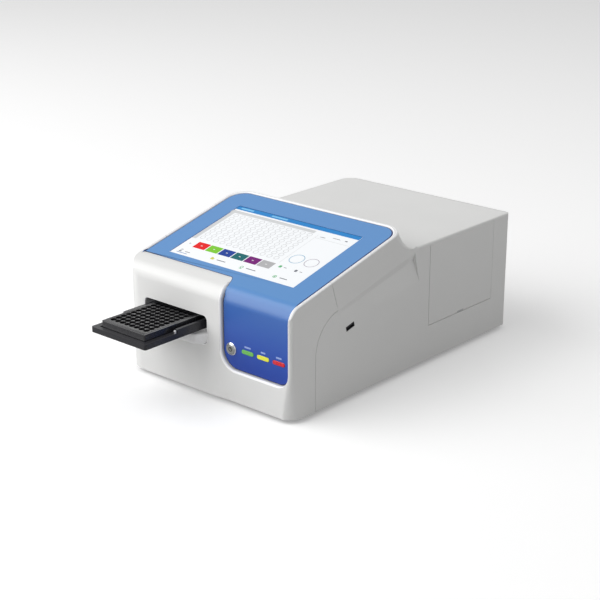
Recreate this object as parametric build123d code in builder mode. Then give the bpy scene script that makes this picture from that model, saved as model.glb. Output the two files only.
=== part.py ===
from build123d import *
from math import cos, radians, sin, tan
import os

os.makedirs("parts", exist_ok=True)

# Bench-top reader for 96-well plates, millimetres. +X is the operator's right,
# +Y runs from the front face to the back and +Z is up. The bench is at z = 0.
# Depths below are counted from the front face, heights from the shells' lower edge.

# Casing
body_width = 310.0
body_depth = 484.0
body_height = 174.5  # lower edge of the shells to the flat rear top
wall = 3.0
fit_gap = 0.3  # between parts that seat on each other
seam_gap = 0.7  # joint line between the outer shells
least_corner = 0.5
top_edge = 3.0  # rounding along the flat top
front_left_corner = 32.0
front_right_corner = 5.0
rear_left_corner = 26.0
rear_right_corner = 7.0
base_corner = 24.0  # the right front corner widens to this at the bottom
flare_height = 60.0  # where that widening starts

# Sloped hood that carries the screen
slope_angle = 13.8
slope_start = 150.7  # height of the slope where it would meet the front face
fold_radius = 20.0
hood_depth = 232.0
hood_corner = 31.0  # plan corner of the hood's rear rim
hood_foot_corner = 9.0
hood_foot_radius = 22.0  # hollow blend between the hood's back and the flat top
hood_foot_steps = 6

# Joint between front housing and main cover
joint_depth = 47.5
joint_turn_height = 75.0
joint_top_depth = 91.5
joint_top_height = 129.0
joint_lean = 12.7 / 40.0  # the upper joint leans forward
scoop_end = 254.0  # hollow below the hood's side crease, deepest at its rear end
scoop_depths = (1.0, 4.5)
scoop_bands = (6.0, 13.0)  # height of its upper facet, which leans in
scoop_heights = (24.0, 46.0)
scoop_backing = 6.0

# Blue panel: one sheet over the slope and down the right of the front
panel_thickness = 2.5
panel_rim = 5.0  # white rim left around the panel
panel_corner = 26.0
panel_sink = 1.0  # below the rim on the slope
panel_front_sink = 5.0  # behind the front face
panel_fold = 24.0
panel_left = body_width / 2 - 124.0  # left edge of the part on the front
panel_foot = 45.0
panel_shoulder = 157.9  # top of the white front face, level with the panel's near edge
shoulder_radius = 14.0
foot_left_radius = 26.0
foot_right_radius = 18.0
panel_front_depth = 9.0
chin_depth = 2.0  # hollow of the front face below the panel
chin_rim = 7.0
chin_fade = 12.0

# Screen
screen_width = 230.0
screen_length = 146.0
screen_low_edge = 51.0  # up the slope from the front face
screen_ledge = 3.0
lcd_thickness = 8.0
lcd_border = 6.0

# Tray opening and tray
tray_x = -54.0
slot_width = 119.0
slot_low = 69.0
slot_height = 40.0
slot_corner = 6.5
tray_reach = 103.3  # carrier in front of the face, tray out
tray_travel = 214.0
carrier_width = 104.0
carrier_back = 40.0
carrier_low = 89.5
carrier_lip = 7.5
carrier_floor = 1.8
carrier_corner = 3.0
rail_height = 5.0
rail_width = 4.5
rail_start = 46.0
pin_radius = 1.9
pin_height = 4.2

# Standard 96-well plate
plate_length = 127.76
plate_width = 85.48
plate_height = 14.35
plate_skirt = 2.6
plate_step = 1.7
well_pitch = 9.0
well_radius = 3.45
well_wall = 0.75
well_gap_depth = 4.0  # the tubes stand free of each other down to here
well_depth = 10.9
well_columns = 12
well_rows = 8
plate_play = 0.4
plate_front_lip = 7.7

# Support nose and slide
nose_reach = 15.0
nose_radius = 16.0
nose_low = 70.5
nose_corner = 5.0
nose_height = 15.0
nose_wall = 4.0
nose_play = 0.6
nose_back = 60.0
slide_length = 24.0
slide_height = 23.0
rod_radius = 4.0
rod_spread = 50.0
rod_height = 58.0
running_fit = 0.05
bearing_radius = 7.5
bracket_thickness = 8.0
bracket_front = 9.0
bracket_width = 122.0
bracket_leg = 16.0

# Belt drive
belt_x = 18.0
belt_low = 51.0
belt_width = 6.0
belt_thickness = 1.4
pulley_radius = 8.0
pulley_height = 10.0
idler_depth = 24.0
motor_depth = 320.0
motor_side = 42.0
rod_overlap = motor_depth - motor_side / 2 - 7.0  # rear end of the guide rods
motor_height = 34.0
motor_shaft = 2.5
clamp_length = 16.0

# Read head over the plate path
read_depth = 133.0
head_width = 90.0
head_length = 24.0
head_low = 109.0
head_height = 27.0
bridge_thickness = 3.0
bridge_left = 68.0
bridge_right = 89.0
bridge_length = 40.0
diode_height = 40.0

# Lamp deck
side_clearance = 7.0  # from the inner parts to the casing's side planes
deck_left = belt_x + 18.0
deck_right = body_width / 2 - side_clearance
deck_x = (deck_left + deck_right) / 2
deck_depth = 370.0
deck_length = 156.0
deck_height = 48.0
deck_thickness = 3.0
beam_x = deck_x + 8.0
beam_height = 110.0
wheel_offset = 30.0
wheel_radius = 42.0
wheel_thickness = 5.0
wheel_depth = deck_depth - 15.0
filter_count = 8
filter_radius = 6.35
lamp_depth = deck_depth + 40.0
lamp_house_side = 44.0
lamp_house_height = 84.0
fibre_radius = 4.0

# Back
rear_thickness = 3.0
fan_side = 60.0
fan_thickness = 20.0
fan_x = deck_x
fan_height = 100.0
inlet_x = 51.0 - body_width / 2
switch_x = inlet_x + 42.0
inlet_height = 44.0
ports_x = 4.0
ports_height = 36.0

# Access door in the right side
door_front = 289.0
door_length = 154.0
door_low = 51.5
door_gap = 0.4
door_line = 0.8  # wider gap along the door's front and lower edge
door_pin_radius = 0.8
door_pin_length = 6.0

# Feet
foot_height = 6.0
foot_radius = 13.0
foot_inset_x = 40.0
foot_inset_y = 37.0
floor_thickness = 2.0
floor_lip = 12.0

slope = radians(slope_angle)
half_width = body_width / 2
front_y = (tray_reach - body_depth) / 2
rear_y = front_y + body_depth
base_z = foot_height
top_z = base_z + body_height
slope_plane = Plane(
    origin=(0, front_y, base_z + slope_start),
    x_dir=(1, 0, 0),
    z_dir=(0, -sin(slope), cos(slope)),
)


def depth(distance):
    return front_y + distance


def height(distance):
    return base_z + distance


def slope_height(y):
    return base_z + slope_start + tan(slope) * (y - front_y)


def save(part, name):
    part.label = name
    export_step(part, f"parts/{name}.step")


# Forms shared by the shells


def plan_form(inset, bottom):
    half = half_width - inset

    def section(z, right_corner):
        with BuildSketch(Plane.XY.offset(z)) as outline:
            with Locations((0, (front_y + rear_y) / 2)):
                Rectangle(2 * half, body_depth - 2 * inset)
            for place, radius in (
                ((half, rear_y), rear_right_corner),
                ((-half, rear_y), rear_left_corner),
                ((-half, front_y), front_left_corner),
                ((half, front_y), right_corner),
            ):
                fillet(
                    outline.vertices().sort_by_distance((*place, 0))[0], max(radius - inset, least_corner)
                )
        return outline.sketch

    flare_z = height(flare_height)
    with BuildPart() as plan:
        add(section(flare_z, front_right_corner))
        extrude(amount=body_height)
        add(section(flare_z, front_right_corner))
        add(section(base_z, base_corner))
        loft(ruled=True)
        if bottom < base_z:
            add(section(base_z, base_corner))
            extrude(amount=bottom - base_z)
    return plan.part


def hood_form(inset):
    # The hood above the flat top: level slices whose back runs down into the top.
    half = half_width - inset
    top = top_z - inset
    lid = inset / cos(slope)
    meet_y = front_y + (top + lid - base_z - slope_start) / tan(slope)
    near_y = meet_y - top_edge / tan(slope) - wall
    rim_rise = slope_height(depth(hood_depth)) - top_z
    foot_y = depth(hood_depth) + rim_rise * tan(slope)
    centre_y = foot_y + hood_foot_radius * (1 - sin(slope)) / cos(slope)
    centre_z = top_z + hood_foot_radius
    reach = hood_foot_radius + inset
    sweep_angle = radians(90) - slope
    slices = [(centre_y - reach * cos(slope), top - top_edge)]
    for step in range(hood_foot_steps + 1):
        turn = sweep_angle * step / hood_foot_steps
        slices.append((centre_y - reach * sin(turn), centre_z - reach * cos(turn)))
    last_y, last_z = slices[-1]
    crown = rim_rise + hood_foot_radius
    slices.append((last_y - crown * tan(slope), last_z + crown))
    with BuildPart() as hood:
        for back_y, z in slices:
            share = (z - top) / rim_rise
            corner = hood_foot_corner + (hood_corner - hood_foot_corner) * share - inset
            with BuildSketch(Plane.XY.offset(z)) as slice_plan:
                with Locations((0, (near_y + back_y) / 2)):
                    Rectangle(2 * half, back_y - near_y)
                fillet(slice_plan.vertices().group_by(Axis.Y)[-1], corner)
        loft(ruled=True)
        with BuildSketch(Plane.YZ):
            with BuildLine():
                peak_y = centre_y + reach
                Polyline(
                    (near_y, slope_height(near_y) - lid),
                    (peak_y, slope_height(peak_y) - lid),
                    (peak_y, top - 2 * top_edge),
                    (near_y, top - 2 * top_edge),
                    close=True,
                )
            make_face()
        extrude(amount=half, both=True, mode=Mode.INTERSECT)
    return hood.part


def body_form(inset, bottom):
    half = half_width - inset
    front = front_y + inset
    rear = rear_y - inset
    top = top_z - inset
    lid = inset / cos(slope)
    fold_z = slope_height(front) - lid
    meet_y = front_y + (top + lid - base_z - slope_start) / tan(slope)
    with BuildPart() as form:
        with BuildSketch(Plane.YZ) as side:
            with BuildLine():
                Polyline(
                    (front, bottom),
                    (front, fold_z),
                    (meet_y, top),
                    (rear, top),
                    (rear, bottom),
                    close=True,
                )
            make_face()
            fold = side.vertices().sort_by_distance((front, fold_z, 0))[0]
            fillet(fold, fold_radius - inset)
        extrude(amount=half, both=True)
        if inset < top_edge:
            ridge = form.edges().filter_by(Axis.Y).group_by(Axis.Z)[-1]
            fillet(ridge, top_edge - inset)
        add(hood_form(inset))
        add(plan_form(inset, bottom), mode=Mode.INTERSECT)
    return form.part


def front_side(grow):
    # Everything in front of the joint between front housing and main cover.
    with BuildPart() as region:
        with BuildSketch(Plane.YZ):
            with BuildLine():
                low = (depth(joint_depth), 0)
                turn = (depth(joint_depth), height(joint_turn_height))
                shoulder = (depth(joint_top_depth), height(joint_top_height))
                rise = body_height
                peak = (shoulder[0] - rise * joint_lean, shoulder[1] + rise)
                stem = Line(low, turn)
                TangentArc(turn, shoulder, tangent=stem % 1)
                Polyline(shoulder, peak, (depth(-wall), peak[1]), (depth(-wall), 0), low)
            make_face()
            offset(amount=grow, kind=Kind.INTERSECTION)
        extrude(amount=body_width, both=True)
    return region.part


def bent_space(slope_drop, front_drop, fold):
    # The space outside a surface that lies below the slope and behind the front.
    y = depth(front_drop)
    fold_z = slope_height(y) - slope_drop / cos(slope)
    far_y = depth(body_depth)
    top = 2 * top_z
    with BuildPart() as space:
        with BuildSketch(Plane.YZ) as side:
            with BuildLine():
                Polyline(
                    (y, 0),
                    (y, fold_z),
                    (far_y, slope_height(far_y) - slope_drop / cos(slope)),
                    (far_y, top),
                    (depth(-body_depth), top),
                    (depth(-body_depth), 0),
                    close=True,
                )
            make_face()
            fillet(side.vertices().sort_by_distance((y, fold_z, 0))[0], fold)
        extrude(amount=body_width, both=True)
    return space.part


def panel_outline(grow):
    # A prism square to the slope and one square to the front, crossed.
    edge = half_width - panel_rim
    low = panel_front_depth / cos(slope)
    high = hood_depth / cos(slope) - panel_rim
    foot = height(panel_foot)
    shoulder = height(panel_shoulder)
    with BuildPart() as prism:
        with BuildSketch(slope_plane.offset(-body_height)) as top:
            with Locations((0, (low + high) / 2)):
                Rectangle(2 * edge, high - low)
            fillet(top.vertices().group_by(Axis.Y)[-1], panel_corner)
            near = top.vertices().group_by(Axis.Y)[0].sort_by(Axis.X)[0]
            fillet(near, panel_corner + 2)
            with Locations(((panel_left - shoulder_radius + edge) / 2, low - body_height / 2)):
                Rectangle(edge - panel_left + shoulder_radius, body_height)
            offset(amount=grow)
        extrude(amount=2 * body_height)
        with BuildSketch(Plane.XZ.offset(-rear_y)) as face:
            with Locations(((panel_left + edge) / 2, (foot + top_z) / 2)):
                Rectangle(edge - panel_left, top_z - foot)
            for x, radius in ((panel_left, foot_left_radius), (edge, foot_right_radius)):
                fillet(face.vertices().sort_by_distance((x, foot, 0))[0], radius)
            with Locations((0, shoulder + body_height / 2)):
                Rectangle(2 * body_width, body_height)
            inner = face.vertices().sort_by_distance((panel_left, shoulder, 0))[0]
            fillet(inner, shoulder_radius)
            offset(amount=grow)
        extrude(amount=2 * body_depth, mode=Mode.INTERSECT)
    return prism.part


def panel_pocket(grow):
    floor = panel_sink + panel_thickness + grow
    front_floor = panel_front_sink + panel_thickness + grow
    fold = panel_fold - panel_thickness - grow
    with BuildPart() as pocket:
        add(bent_space(floor, front_floor, fold))
        add(panel_outline(grow), mode=Mode.INTERSECT)
    return pocket.part


def screen_window(border, low, high):
    # A box on the slope around the screen, from low to high measured up its normal.
    with BuildPart() as window:
        with BuildSketch(slope_plane.offset(low)):
            with Locations((0, screen_low_edge + screen_length / 2)):
                Rectangle(screen_width + 2 * border, screen_length + 2 * border)
        extrude(amount=high - low)
    return window.part


outer_form = body_form(0, base_z)
inner_form = body_form(wall, 0)
with BuildPart() as backing:
    add(panel_pocket(wall))
    add(outer_form, mode=Mode.INTERSECT)
with BuildPart() as casing:
    add(outer_form)
    add(inner_form, mode=Mode.SUBTRACT)
    add(backing.part)
    add(panel_pocket(0), mode=Mode.SUBTRACT)
    add(screen_window(-screen_ledge, -3 * wall - panel_thickness, wall), mode=Mode.SUBTRACT)


def full_slab(low, high):
    # A slab over the whole plan, between two heights above the shells' lower edge.
    with BuildPart() as slab:
        with BuildSketch(Plane.XY.offset(height(low))):
            Rectangle(2 * body_width, 4 * body_depth)
        extrude(amount=high - low)
    return slab.part


def box_between(x_range, depth_range, height_range):
    # A box from ranges of x, of depth behind the front face and of height.
    low = Vector(x_range[0], depth(depth_range[0]), height(height_range[0]))
    high = Vector(x_range[1], depth(depth_range[1]), height(height_range[1]))
    middle = (low + high) * 0.5
    size = high - low
    with BuildPart() as box:
        with Locations(middle):
            Box(size.X, size.Y, size.Z)
    return box.part


def across(x, y_depth, z_height):
    # A plane facing the operator, centred on a point.
    return Plane(
        origin=(x, depth(y_depth), height(z_height)), x_dir=(1, 0, 0), z_dir=(0, -1, 0)
    )


def bar(plane, radius, length, bore=0.0):
    # A round bar along a plane's normal, with an optional bore.
    with BuildPart() as rod:
        with BuildSketch(plane):
            Circle(radius)
            if bore > 0:
                Circle(bore, mode=Mode.SUBTRACT)
        extrude(amount=length)
    return rod.part


# Front housing: front face, its side wings and the lower screen surround

lamp_pitch = 27.3
lamp_length = 21.0
lamp_height = 5.7
lamp_x = panel_left + 44.2
control_height = 73.0
button_x = panel_left + 15.3
button_radius = 7.0
ring_radius = 8.8
ring_neck = 8.0
lamp_places = [(lamp_x + i * lamp_pitch, control_height + 1.3) for i in range(3)]


def control_holes(clearance, back):
    # Openings for the button ring's neck and the three lamps, cut from the front.
    with BuildPart() as holes:
        with BuildSketch(across(0, back, 0)):
            with Locations((button_x, control_height)):
                Circle(ring_neck + clearance)
            with Locations(*lamp_places):
                SlotOverall(lamp_length + 2 * clearance, lamp_height + 2 * clearance)
        extrude(amount=back + wall)
    return holes.part


def slot_prism(grow, start, length):
    with BuildPart() as prism:
        with BuildSketch(across(tray_x, start + length, slot_low + slot_height / 2)):
            RectangleRounded(slot_width + 2 * grow, slot_height + 2 * grow, slot_corner + grow)
        extrude(amount=length)
    return prism.part


chin_left = panel_left - chin_fade
chin_right = half_width - chin_fade / 2
with BuildPart() as chin:
    # The face below the panel leans back towards the foot and fades out to the sides.
    for level, lean in ((panel_foot - chin_rim, 0), (0, chin_depth)):
        with BuildSketch(Plane.XY.offset(height(level))):
            with BuildLine():
                Polyline(
                    (chin_left, depth(-wall)),
                    (chin_left, depth(0)),
                    (chin_left + 2 * chin_fade, depth(lean)),
                    (chin_right - chin_fade, depth(lean)),
                    (chin_right, depth(0)),
                    (chin_right, depth(-wall)),
                    close=True,
                )
            make_face()
    loft(ruled=True)

with BuildPart() as front_housing:
    add(casing.part)
    add(front_side(0), mode=Mode.INTERSECT)
    add(slot_prism(0, -2 * wall, 6 * wall), mode=Mode.SUBTRACT)
    add(control_holes(fit_gap, 5 * wall), mode=Mode.SUBTRACT)
    add(chin.part, mode=Mode.SUBTRACT)
save(front_housing.part, "front_housing")

# Main cover: rear top, hood back and both sides

crease = Plane(
    origin=(0, depth(joint_top_depth), height(joint_top_height)),
    x_dir=(1, 0, 0),
    z_dir=(0, cos(slope), sin(slope)),
)
scoop_run = (scoop_end - joint_top_depth) / cos(slope)


def scoop_form(side, outer, inner, margin):
    # A wedge along the crease from the joint to the scoop's end, growing rearwards.
    with BuildPart() as scoop:
        for start, sink, band, fall in zip((0, scoop_run + margin), scoop_depths, scoop_bands, scoop_heights):
            with BuildSketch(crease.offset(start)):
                with BuildLine():
                    Polyline(
                        (side * outer, -margin),
                        (side * inner, -margin),
                        (side * (inner - sink), band),
                        (side * inner, fall + margin),
                        (side * outer, fall + margin),
                        close=True,
                    )
                make_face()
        loft(ruled=True)
    return scoop.part


with BuildPart() as scoops:
    for side in (1, -1):
        add(scoop_form(side, half_width + wall, half_width, 0))
with BuildPart() as scoop_walls:
    for side in (1, -1):
        add(scoop_form(side, half_width - 0.2, half_width - wall, scoop_backing))

door_back = door_front + door_length
door_top = body_height - top_edge - seam_gap
door_box = box_between(
    (half_width - wall - fit_gap, half_width + wall),
    (door_front, door_back),
    (door_low, door_top),
)
door_axis_x = half_width - wall / 2
door_axis_z = door_top - wall / 2

usb_depth = 117.0
usb_height = 99.5
usb_width = 16.6
usb_opening = 6.4
usb_plane = Plane(
    origin=(half_width + wall, depth(usb_depth), height(usb_height)),
    x_dir=(0, cos(slope), sin(slope)),
    z_dir=(1, 0, 0),
)


def usb_prism(grow, length):
    with BuildPart() as prism:
        with BuildSketch(usb_plane.offset(-length)):
            Rectangle(usb_width + 2 * grow, usb_opening + 2 * grow)
        extrude(amount=length)
    return prism.part


usb_length = 14.0
usb_peg_pitch = 28.0
usb_peg_radius = 3.0
screw_radius = 1.5
boss_length = 15.0
boss_levels = (24.0, body_height - 16.5)
boss_side = 12.0
rear_screw_x = (rear_left_corner - half_width, half_width - boss_side)
rear_screw_places = [(x, level) for x in rear_screw_x for level in boss_levels]
rear_screw_backs = [(-x, level) for x, level in rear_screw_places]
rear_line = body_depth - rear_thickness - seam_gap
rear_inner = body_depth - rear_thickness
with BuildPart() as bosses:
    for x, level in rear_screw_places:
        side = x / abs(x)
        reach = sorted((x - side * boss_side / 2, side * (half_width - wall / 2)))
        levels = (level - boss_side / 2, level + boss_side / 2)
        add(box_between(reach, (rear_inner - boss_length, rear_inner), levels))
    add(outer_form, mode=Mode.INTERSECT)
with BuildPart() as main_cover:
    add(casing.part)
    add(front_side(seam_gap), mode=Mode.SUBTRACT)
    add(scoop_walls.part)
    add(scoops.part, mode=Mode.SUBTRACT)
    rear_cut = box_between(
        (-body_width, body_width), (rear_line, 2 * body_depth), (-body_height, 2 * body_height)
    )
    add(rear_cut, mode=Mode.SUBTRACT)
    add(door_box, mode=Mode.SUBTRACT)
    add(usb_prism(fit_gap, 4 * wall), mode=Mode.SUBTRACT)
    pin_reach = door_length + 2 * door_pin_length
    hinge_line = Plane(
        origin=(door_axis_x, depth(door_back + door_pin_length), height(door_axis_z)),
        x_dir=(1, 0, 0),
        z_dir=(0, -1, 0),
    )
    add(bar(hinge_line, door_pin_radius + running_fit, pin_reach), mode=Mode.SUBTRACT)
    add(bosses.part)
    with BuildSketch(across(0, rear_inner, 0)):
        with Locations(*rear_screw_places):
            Circle(screw_radius)
    extrude(amount=boss_length, mode=Mode.SUBTRACT)
    with BuildSketch(usb_plane.offset(-wall - usb_length)):
        with GridLocations(usb_peg_pitch, 0, 2, 1):
            Circle(usb_peg_radius)
            Circle(1, mode=Mode.SUBTRACT)
    extrude(amount=usb_length - wall)
save(main_cover.part, "main_cover")

# Access door with its hinge pins and pull lip

pull_length = 15.0
pull_height = 2.4
pull_reach = 1.6
with BuildPart() as access_door:
    with BuildSketch(Plane.XZ.offset(-depth(door_back - door_gap))) as leaf:
        low = height(door_low + door_line)
        with Locations((door_axis_x, (low + height(door_axis_z)) / 2)):
            Rectangle(wall, height(door_axis_z) - low)
        with Locations((door_axis_x, height(door_axis_z))):
            Circle(wall / 2)
            Circle(door_pin_radius + running_fit, mode=Mode.SUBTRACT)
    extrude(amount=door_length - door_gap - door_line)
    notch_middle = (door_front + door_back) / 2
    notch_box = box_between(
        (half_width - wall / 2, half_width + wall),
        (notch_middle - pull_length / 2, notch_middle + pull_length / 2),
        (door_low, door_low + pull_height + door_line),
    )
    add(notch_box, mode=Mode.SUBTRACT)
save(access_door.part, "access_door")

with BuildPart() as door_pull:
    with BuildSketch(Plane.XZ.offset(-depth(notch_middle + pull_length / 2 - fit_gap))):
        with Locations((half_width - wall / 4, height(door_low + door_line + pull_height / 2))):
            Rectangle(wall / 2, pull_height)
    extrude(amount=pull_length - 2 * fit_gap)
    chamfer(door_pull.edges().filter_by(Axis.Y).group_by(Axis.X)[-1], wall / 8)
save(door_pull.part, "door_pull")

with BuildPart() as door_hinge_pins:
    for start in (door_front + door_pin_length, door_back + door_pin_length):
        pin_plane = Plane(
            origin=(door_axis_x, depth(start - fit_gap), height(door_axis_z)),
            x_dir=(1, 0, 0),
            z_dir=(0, -1, 0),
        )
        add(bar(pin_plane, door_pin_radius, 2 * door_pin_length - 2 * fit_gap))
save(door_hinge_pins.part, "door_hinge_pins")

# Blue panel, screen and controls

with BuildPart() as blue_panel:
    add(panel_outline(-fit_gap))
    back = bent_space(
        panel_sink + panel_thickness, panel_front_sink + panel_thickness, panel_fold - panel_thickness
    )
    add(back, mode=Mode.INTERSECT)
    add(bent_space(panel_sink, panel_front_sink, panel_fold), mode=Mode.SUBTRACT)
    add(screen_window(0, -3 * wall, wall), mode=Mode.SUBTRACT)
    add(control_holes(fit_gap, 5 * wall), mode=Mode.SUBTRACT)
save(blue_panel.part, "blue_panel")

glass_floor = -(panel_sink + panel_thickness)
with BuildPart() as touch_glass:
    add(screen_window(-fit_gap, glass_floor, -panel_sink))
save(touch_glass.part, "touch_glass")

with BuildPart() as lcd_module:
    lcd_front = glass_floor - wall - fit_gap
    add(screen_window(lcd_border, lcd_front - lcd_thickness, lcd_front))
    chamfer(lcd_module.edges().filter_by(Axis.X), 1)
save(lcd_module.part, "lcd_module")

panel_front = panel_front_sink
button_travel = 1.5
ring_proud = 2.0
ring_flange = 1.6
ring_length = 22.0
with BuildPart() as power_ring:
    with BuildSketch(across(button_x, panel_front, control_height)):
        Circle(ring_radius)
        Circle(button_radius + fit_gap, mode=Mode.SUBTRACT)
    extrude(amount=ring_proud)
    lip = power_ring.edges().group_by(Axis.Y)[0]
    chamfer(lip.sort_by(SortBy.RADIUS)[-1], ring_flange / 2)
    with BuildSketch(across(button_x, panel_front + ring_length, control_height)):
        Circle(ring_neck)
        Circle(button_radius + fit_gap, mode=Mode.SUBTRACT)
    extrude(amount=ring_length)
save(power_ring.part, "power_ring")

with BuildPart() as power_button:
    with BuildSketch(across(button_x, panel_front + ring_length / 2, control_height)):
        Circle(button_radius)
    extrude(amount=ring_length / 2 + ring_proud + button_travel / 2)
    chamfer(power_button.edges().group_by(Axis.Y)[0], 0.8)
save(power_button.part, "power_button")

switch_gap = button_travel + fit_gap
with BuildPart() as power_switch:
    switch_start = panel_front + ring_length / 2 + switch_gap
    with BuildSketch(across(button_x, panel_front + ring_length + 6, control_height)):
        Circle(button_radius)
    extrude(amount=panel_front + ring_length + 6 - switch_start)
    for pin_offset in (-3, 3):
        with BuildSketch(across(button_x + pin_offset, panel_front + ring_length + 12, control_height)):
            Rectangle(0.8, 2.8)
        extrude(amount=6)
save(power_switch.part, "power_switch")

with BuildPart() as ring_nut:
    nut_depth = panel_front + panel_thickness + wall + fit_gap
    with BuildSketch(across(button_x, nut_depth + 3, control_height)):
        RegularPolygon(ring_neck + 3.2, 6)
        Circle(ring_neck + running_fit, mode=Mode.SUBTRACT)
    extrude(amount=3)
save(ring_nut.part, "ring_nut")

lamp_proud = 0.6
board_depth = panel_front + panel_thickness + wall + 6.0
for index, colour in enumerate(("green", "yellow", "red")):
    with BuildPart() as lamp:
        with BuildSketch(across(*(lamp_places[index][0], board_depth - 2.5, lamp_places[index][1]))):
            SlotOverall(lamp_length, lamp_height)
        extrude(amount=board_depth - 2.5 - panel_front + lamp_proud)
        fillet(lamp.edges().group_by(Axis.Y)[0], lamp_proud)
    save(lamp.part, f"lamp_{colour}")

board_thickness = 1.6
board_width = 3 * lamp_pitch
board_height = 26.0
with BuildPart() as indicator_board:
    with BuildSketch(across(lamp_x + lamp_pitch, board_depth + board_thickness, control_height + 1.3)):
        Rectangle(board_width, board_height)
        with GridLocations(board_width - 8, board_height - 8, 2, 2):
            Circle(1.6, mode=Mode.SUBTRACT)
    extrude(amount=board_thickness)
    for place in lamp_places:
        with BuildSketch(across(place[0], board_depth, place[1])):
            Rectangle(5, 3)
        extrude(amount=2.2)
save(indicator_board.part, "indicator_board")

# Base pan with feet

with BuildPart() as pan_room:
    add(body_form(wall + fit_gap + floor_thickness, 0))
    add(full_slab(floor_thickness, 2 * floor_lip), mode=Mode.INTERSECT)
pan_back = body_depth - rear_thickness - fit_gap
with BuildPart() as base_pan:
    add(body_form(wall + fit_gap, 0))
    add(full_slab(0, floor_lip), mode=Mode.INTERSECT)
    add(pan_room.part, mode=Mode.SUBTRACT)
    rear_trim = box_between(
        (-body_width, body_width), (pan_back, 2 * body_depth), (-wall, body_height)
    )
    add(rear_trim, mode=Mode.SUBTRACT)
    foot_plane = Plane.XY.offset(base_z)
    foot_span_x = body_width - 2 * foot_inset_x
    foot_span_y = body_depth - 2 * foot_inset_y
    foot_middle = (0, (front_y + rear_y) / 2)
    with BuildSketch(foot_plane):
        with Locations(foot_middle):
            with GridLocations(foot_span_x, foot_span_y, 2, 2):
                Circle(2.1)
    extrude(amount=floor_thickness, mode=Mode.SUBTRACT)
save(base_pan.part, "base_pan")

with BuildPart() as rubber_feet:
    with BuildSketch(Plane.XY) as pads:
        with Locations(foot_middle):
            with GridLocations(foot_span_x, foot_span_y, 2, 2):
                Circle(foot_radius)
    extrude(amount=foot_height)
    chamfer(rubber_feet.edges().group_by(Axis.Z)[0], 1.2)
    with BuildSketch(Plane.XY):
        with Locations(foot_middle):
            with GridLocations(foot_span_x, foot_span_y, 2, 2):
                Circle(4.5)
    extrude(amount=foot_height / 2, mode=Mode.SUBTRACT)
    with BuildSketch(Plane.XY):
        with Locations(foot_middle):
            with GridLocations(foot_span_x, foot_span_y, 2, 2):
                Circle(2.1)
    extrude(amount=foot_height, mode=Mode.SUBTRACT)
save(rubber_feet.part, "rubber_feet")

# Tray: carrier, plate, support nose and slide

plate_centre = plate_front_lip + plate_length / 2 - tray_reach
window_width = 77.0
window_length = 119.0
rail_side = (carrier_width - rail_width) / 2


def flat(x, y_depth, z_height):
    # A level plane centred on a point.
    return Plane(origin=(x, depth(y_depth), height(z_height)))


with BuildPart() as plate_carrier:
    with BuildSketch(flat(tray_x, (carrier_back - tray_reach) / 2, carrier_low)):
        RectangleRounded(carrier_width, carrier_back + tray_reach, carrier_corner)
    extrude(amount=carrier_lip)
    with BuildSketch(flat(tray_x, (carrier_back - rail_start) / 2, carrier_low + carrier_lip)):
        with Locations((-rail_side, 0), (rail_side, 0)):
            Rectangle(rail_width, carrier_back + rail_start)
    extrude(amount=rail_height)
    with BuildSketch(flat(tray_x, plate_centre, carrier_low + carrier_floor)):
        Rectangle(plate_width + 2 * plate_play, plate_length + 2 * plate_play)
    extrude(amount=carrier_lip, mode=Mode.SUBTRACT)
    with BuildSketch(flat(tray_x, plate_centre, carrier_low)):
        RectangleRounded(window_width, window_length, carrier_corner)
    extrude(amount=carrier_lip, mode=Mode.SUBTRACT)
save(plate_carrier.part, "plate_carrier")

plate_low = carrier_low + carrier_floor
with BuildPart() as microplate:
    with BuildSketch(flat(tray_x, plate_centre, plate_low)):
        RectangleRounded(plate_width, plate_length, 3.2)
    extrude(amount=plate_skirt)
    with BuildSketch(flat(tray_x, plate_centre, plate_low + plate_skirt)):
        RectangleRounded(plate_width - 2 * plate_step, plate_length - 2 * plate_step, 2.6)
    extrude(amount=plate_height - plate_skirt)
    plate_top = plate_low + plate_height
    with BuildSketch(flat(tray_x, plate_centre, plate_top - well_gap_depth)):
        block_width = well_rows * well_pitch + well_wall
        block_length = well_columns * well_pitch + well_wall
        RectangleRounded(block_width + 1, block_length + 1, 2)
        with GridLocations(well_pitch, well_pitch, well_rows, well_columns):
            Circle(well_radius + well_wall, mode=Mode.SUBTRACT)
    extrude(amount=well_gap_depth, mode=Mode.SUBTRACT)
    with BuildSketch(flat(tray_x, plate_centre, plate_top - well_depth)):
        with GridLocations(well_pitch, well_pitch, well_rows, well_columns):
            Circle(well_radius)
    extrude(amount=well_depth, mode=Mode.SUBTRACT)
save(microplate.part, "microplate")

with BuildPart() as tray_pins:
    pin_depth = -rail_start - pin_radius - fit_gap
    with BuildSketch(flat(tray_x, pin_depth, carrier_low + carrier_lip)):
        with Locations((-rail_side, 0), (rail_side, 0)):
            Circle(pin_radius)
    extrude(amount=pin_height)
    fillet(tray_pins.edges().group_by(Axis.Z)[-1], 1)
save(tray_pins.part, "tray_pins")

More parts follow.
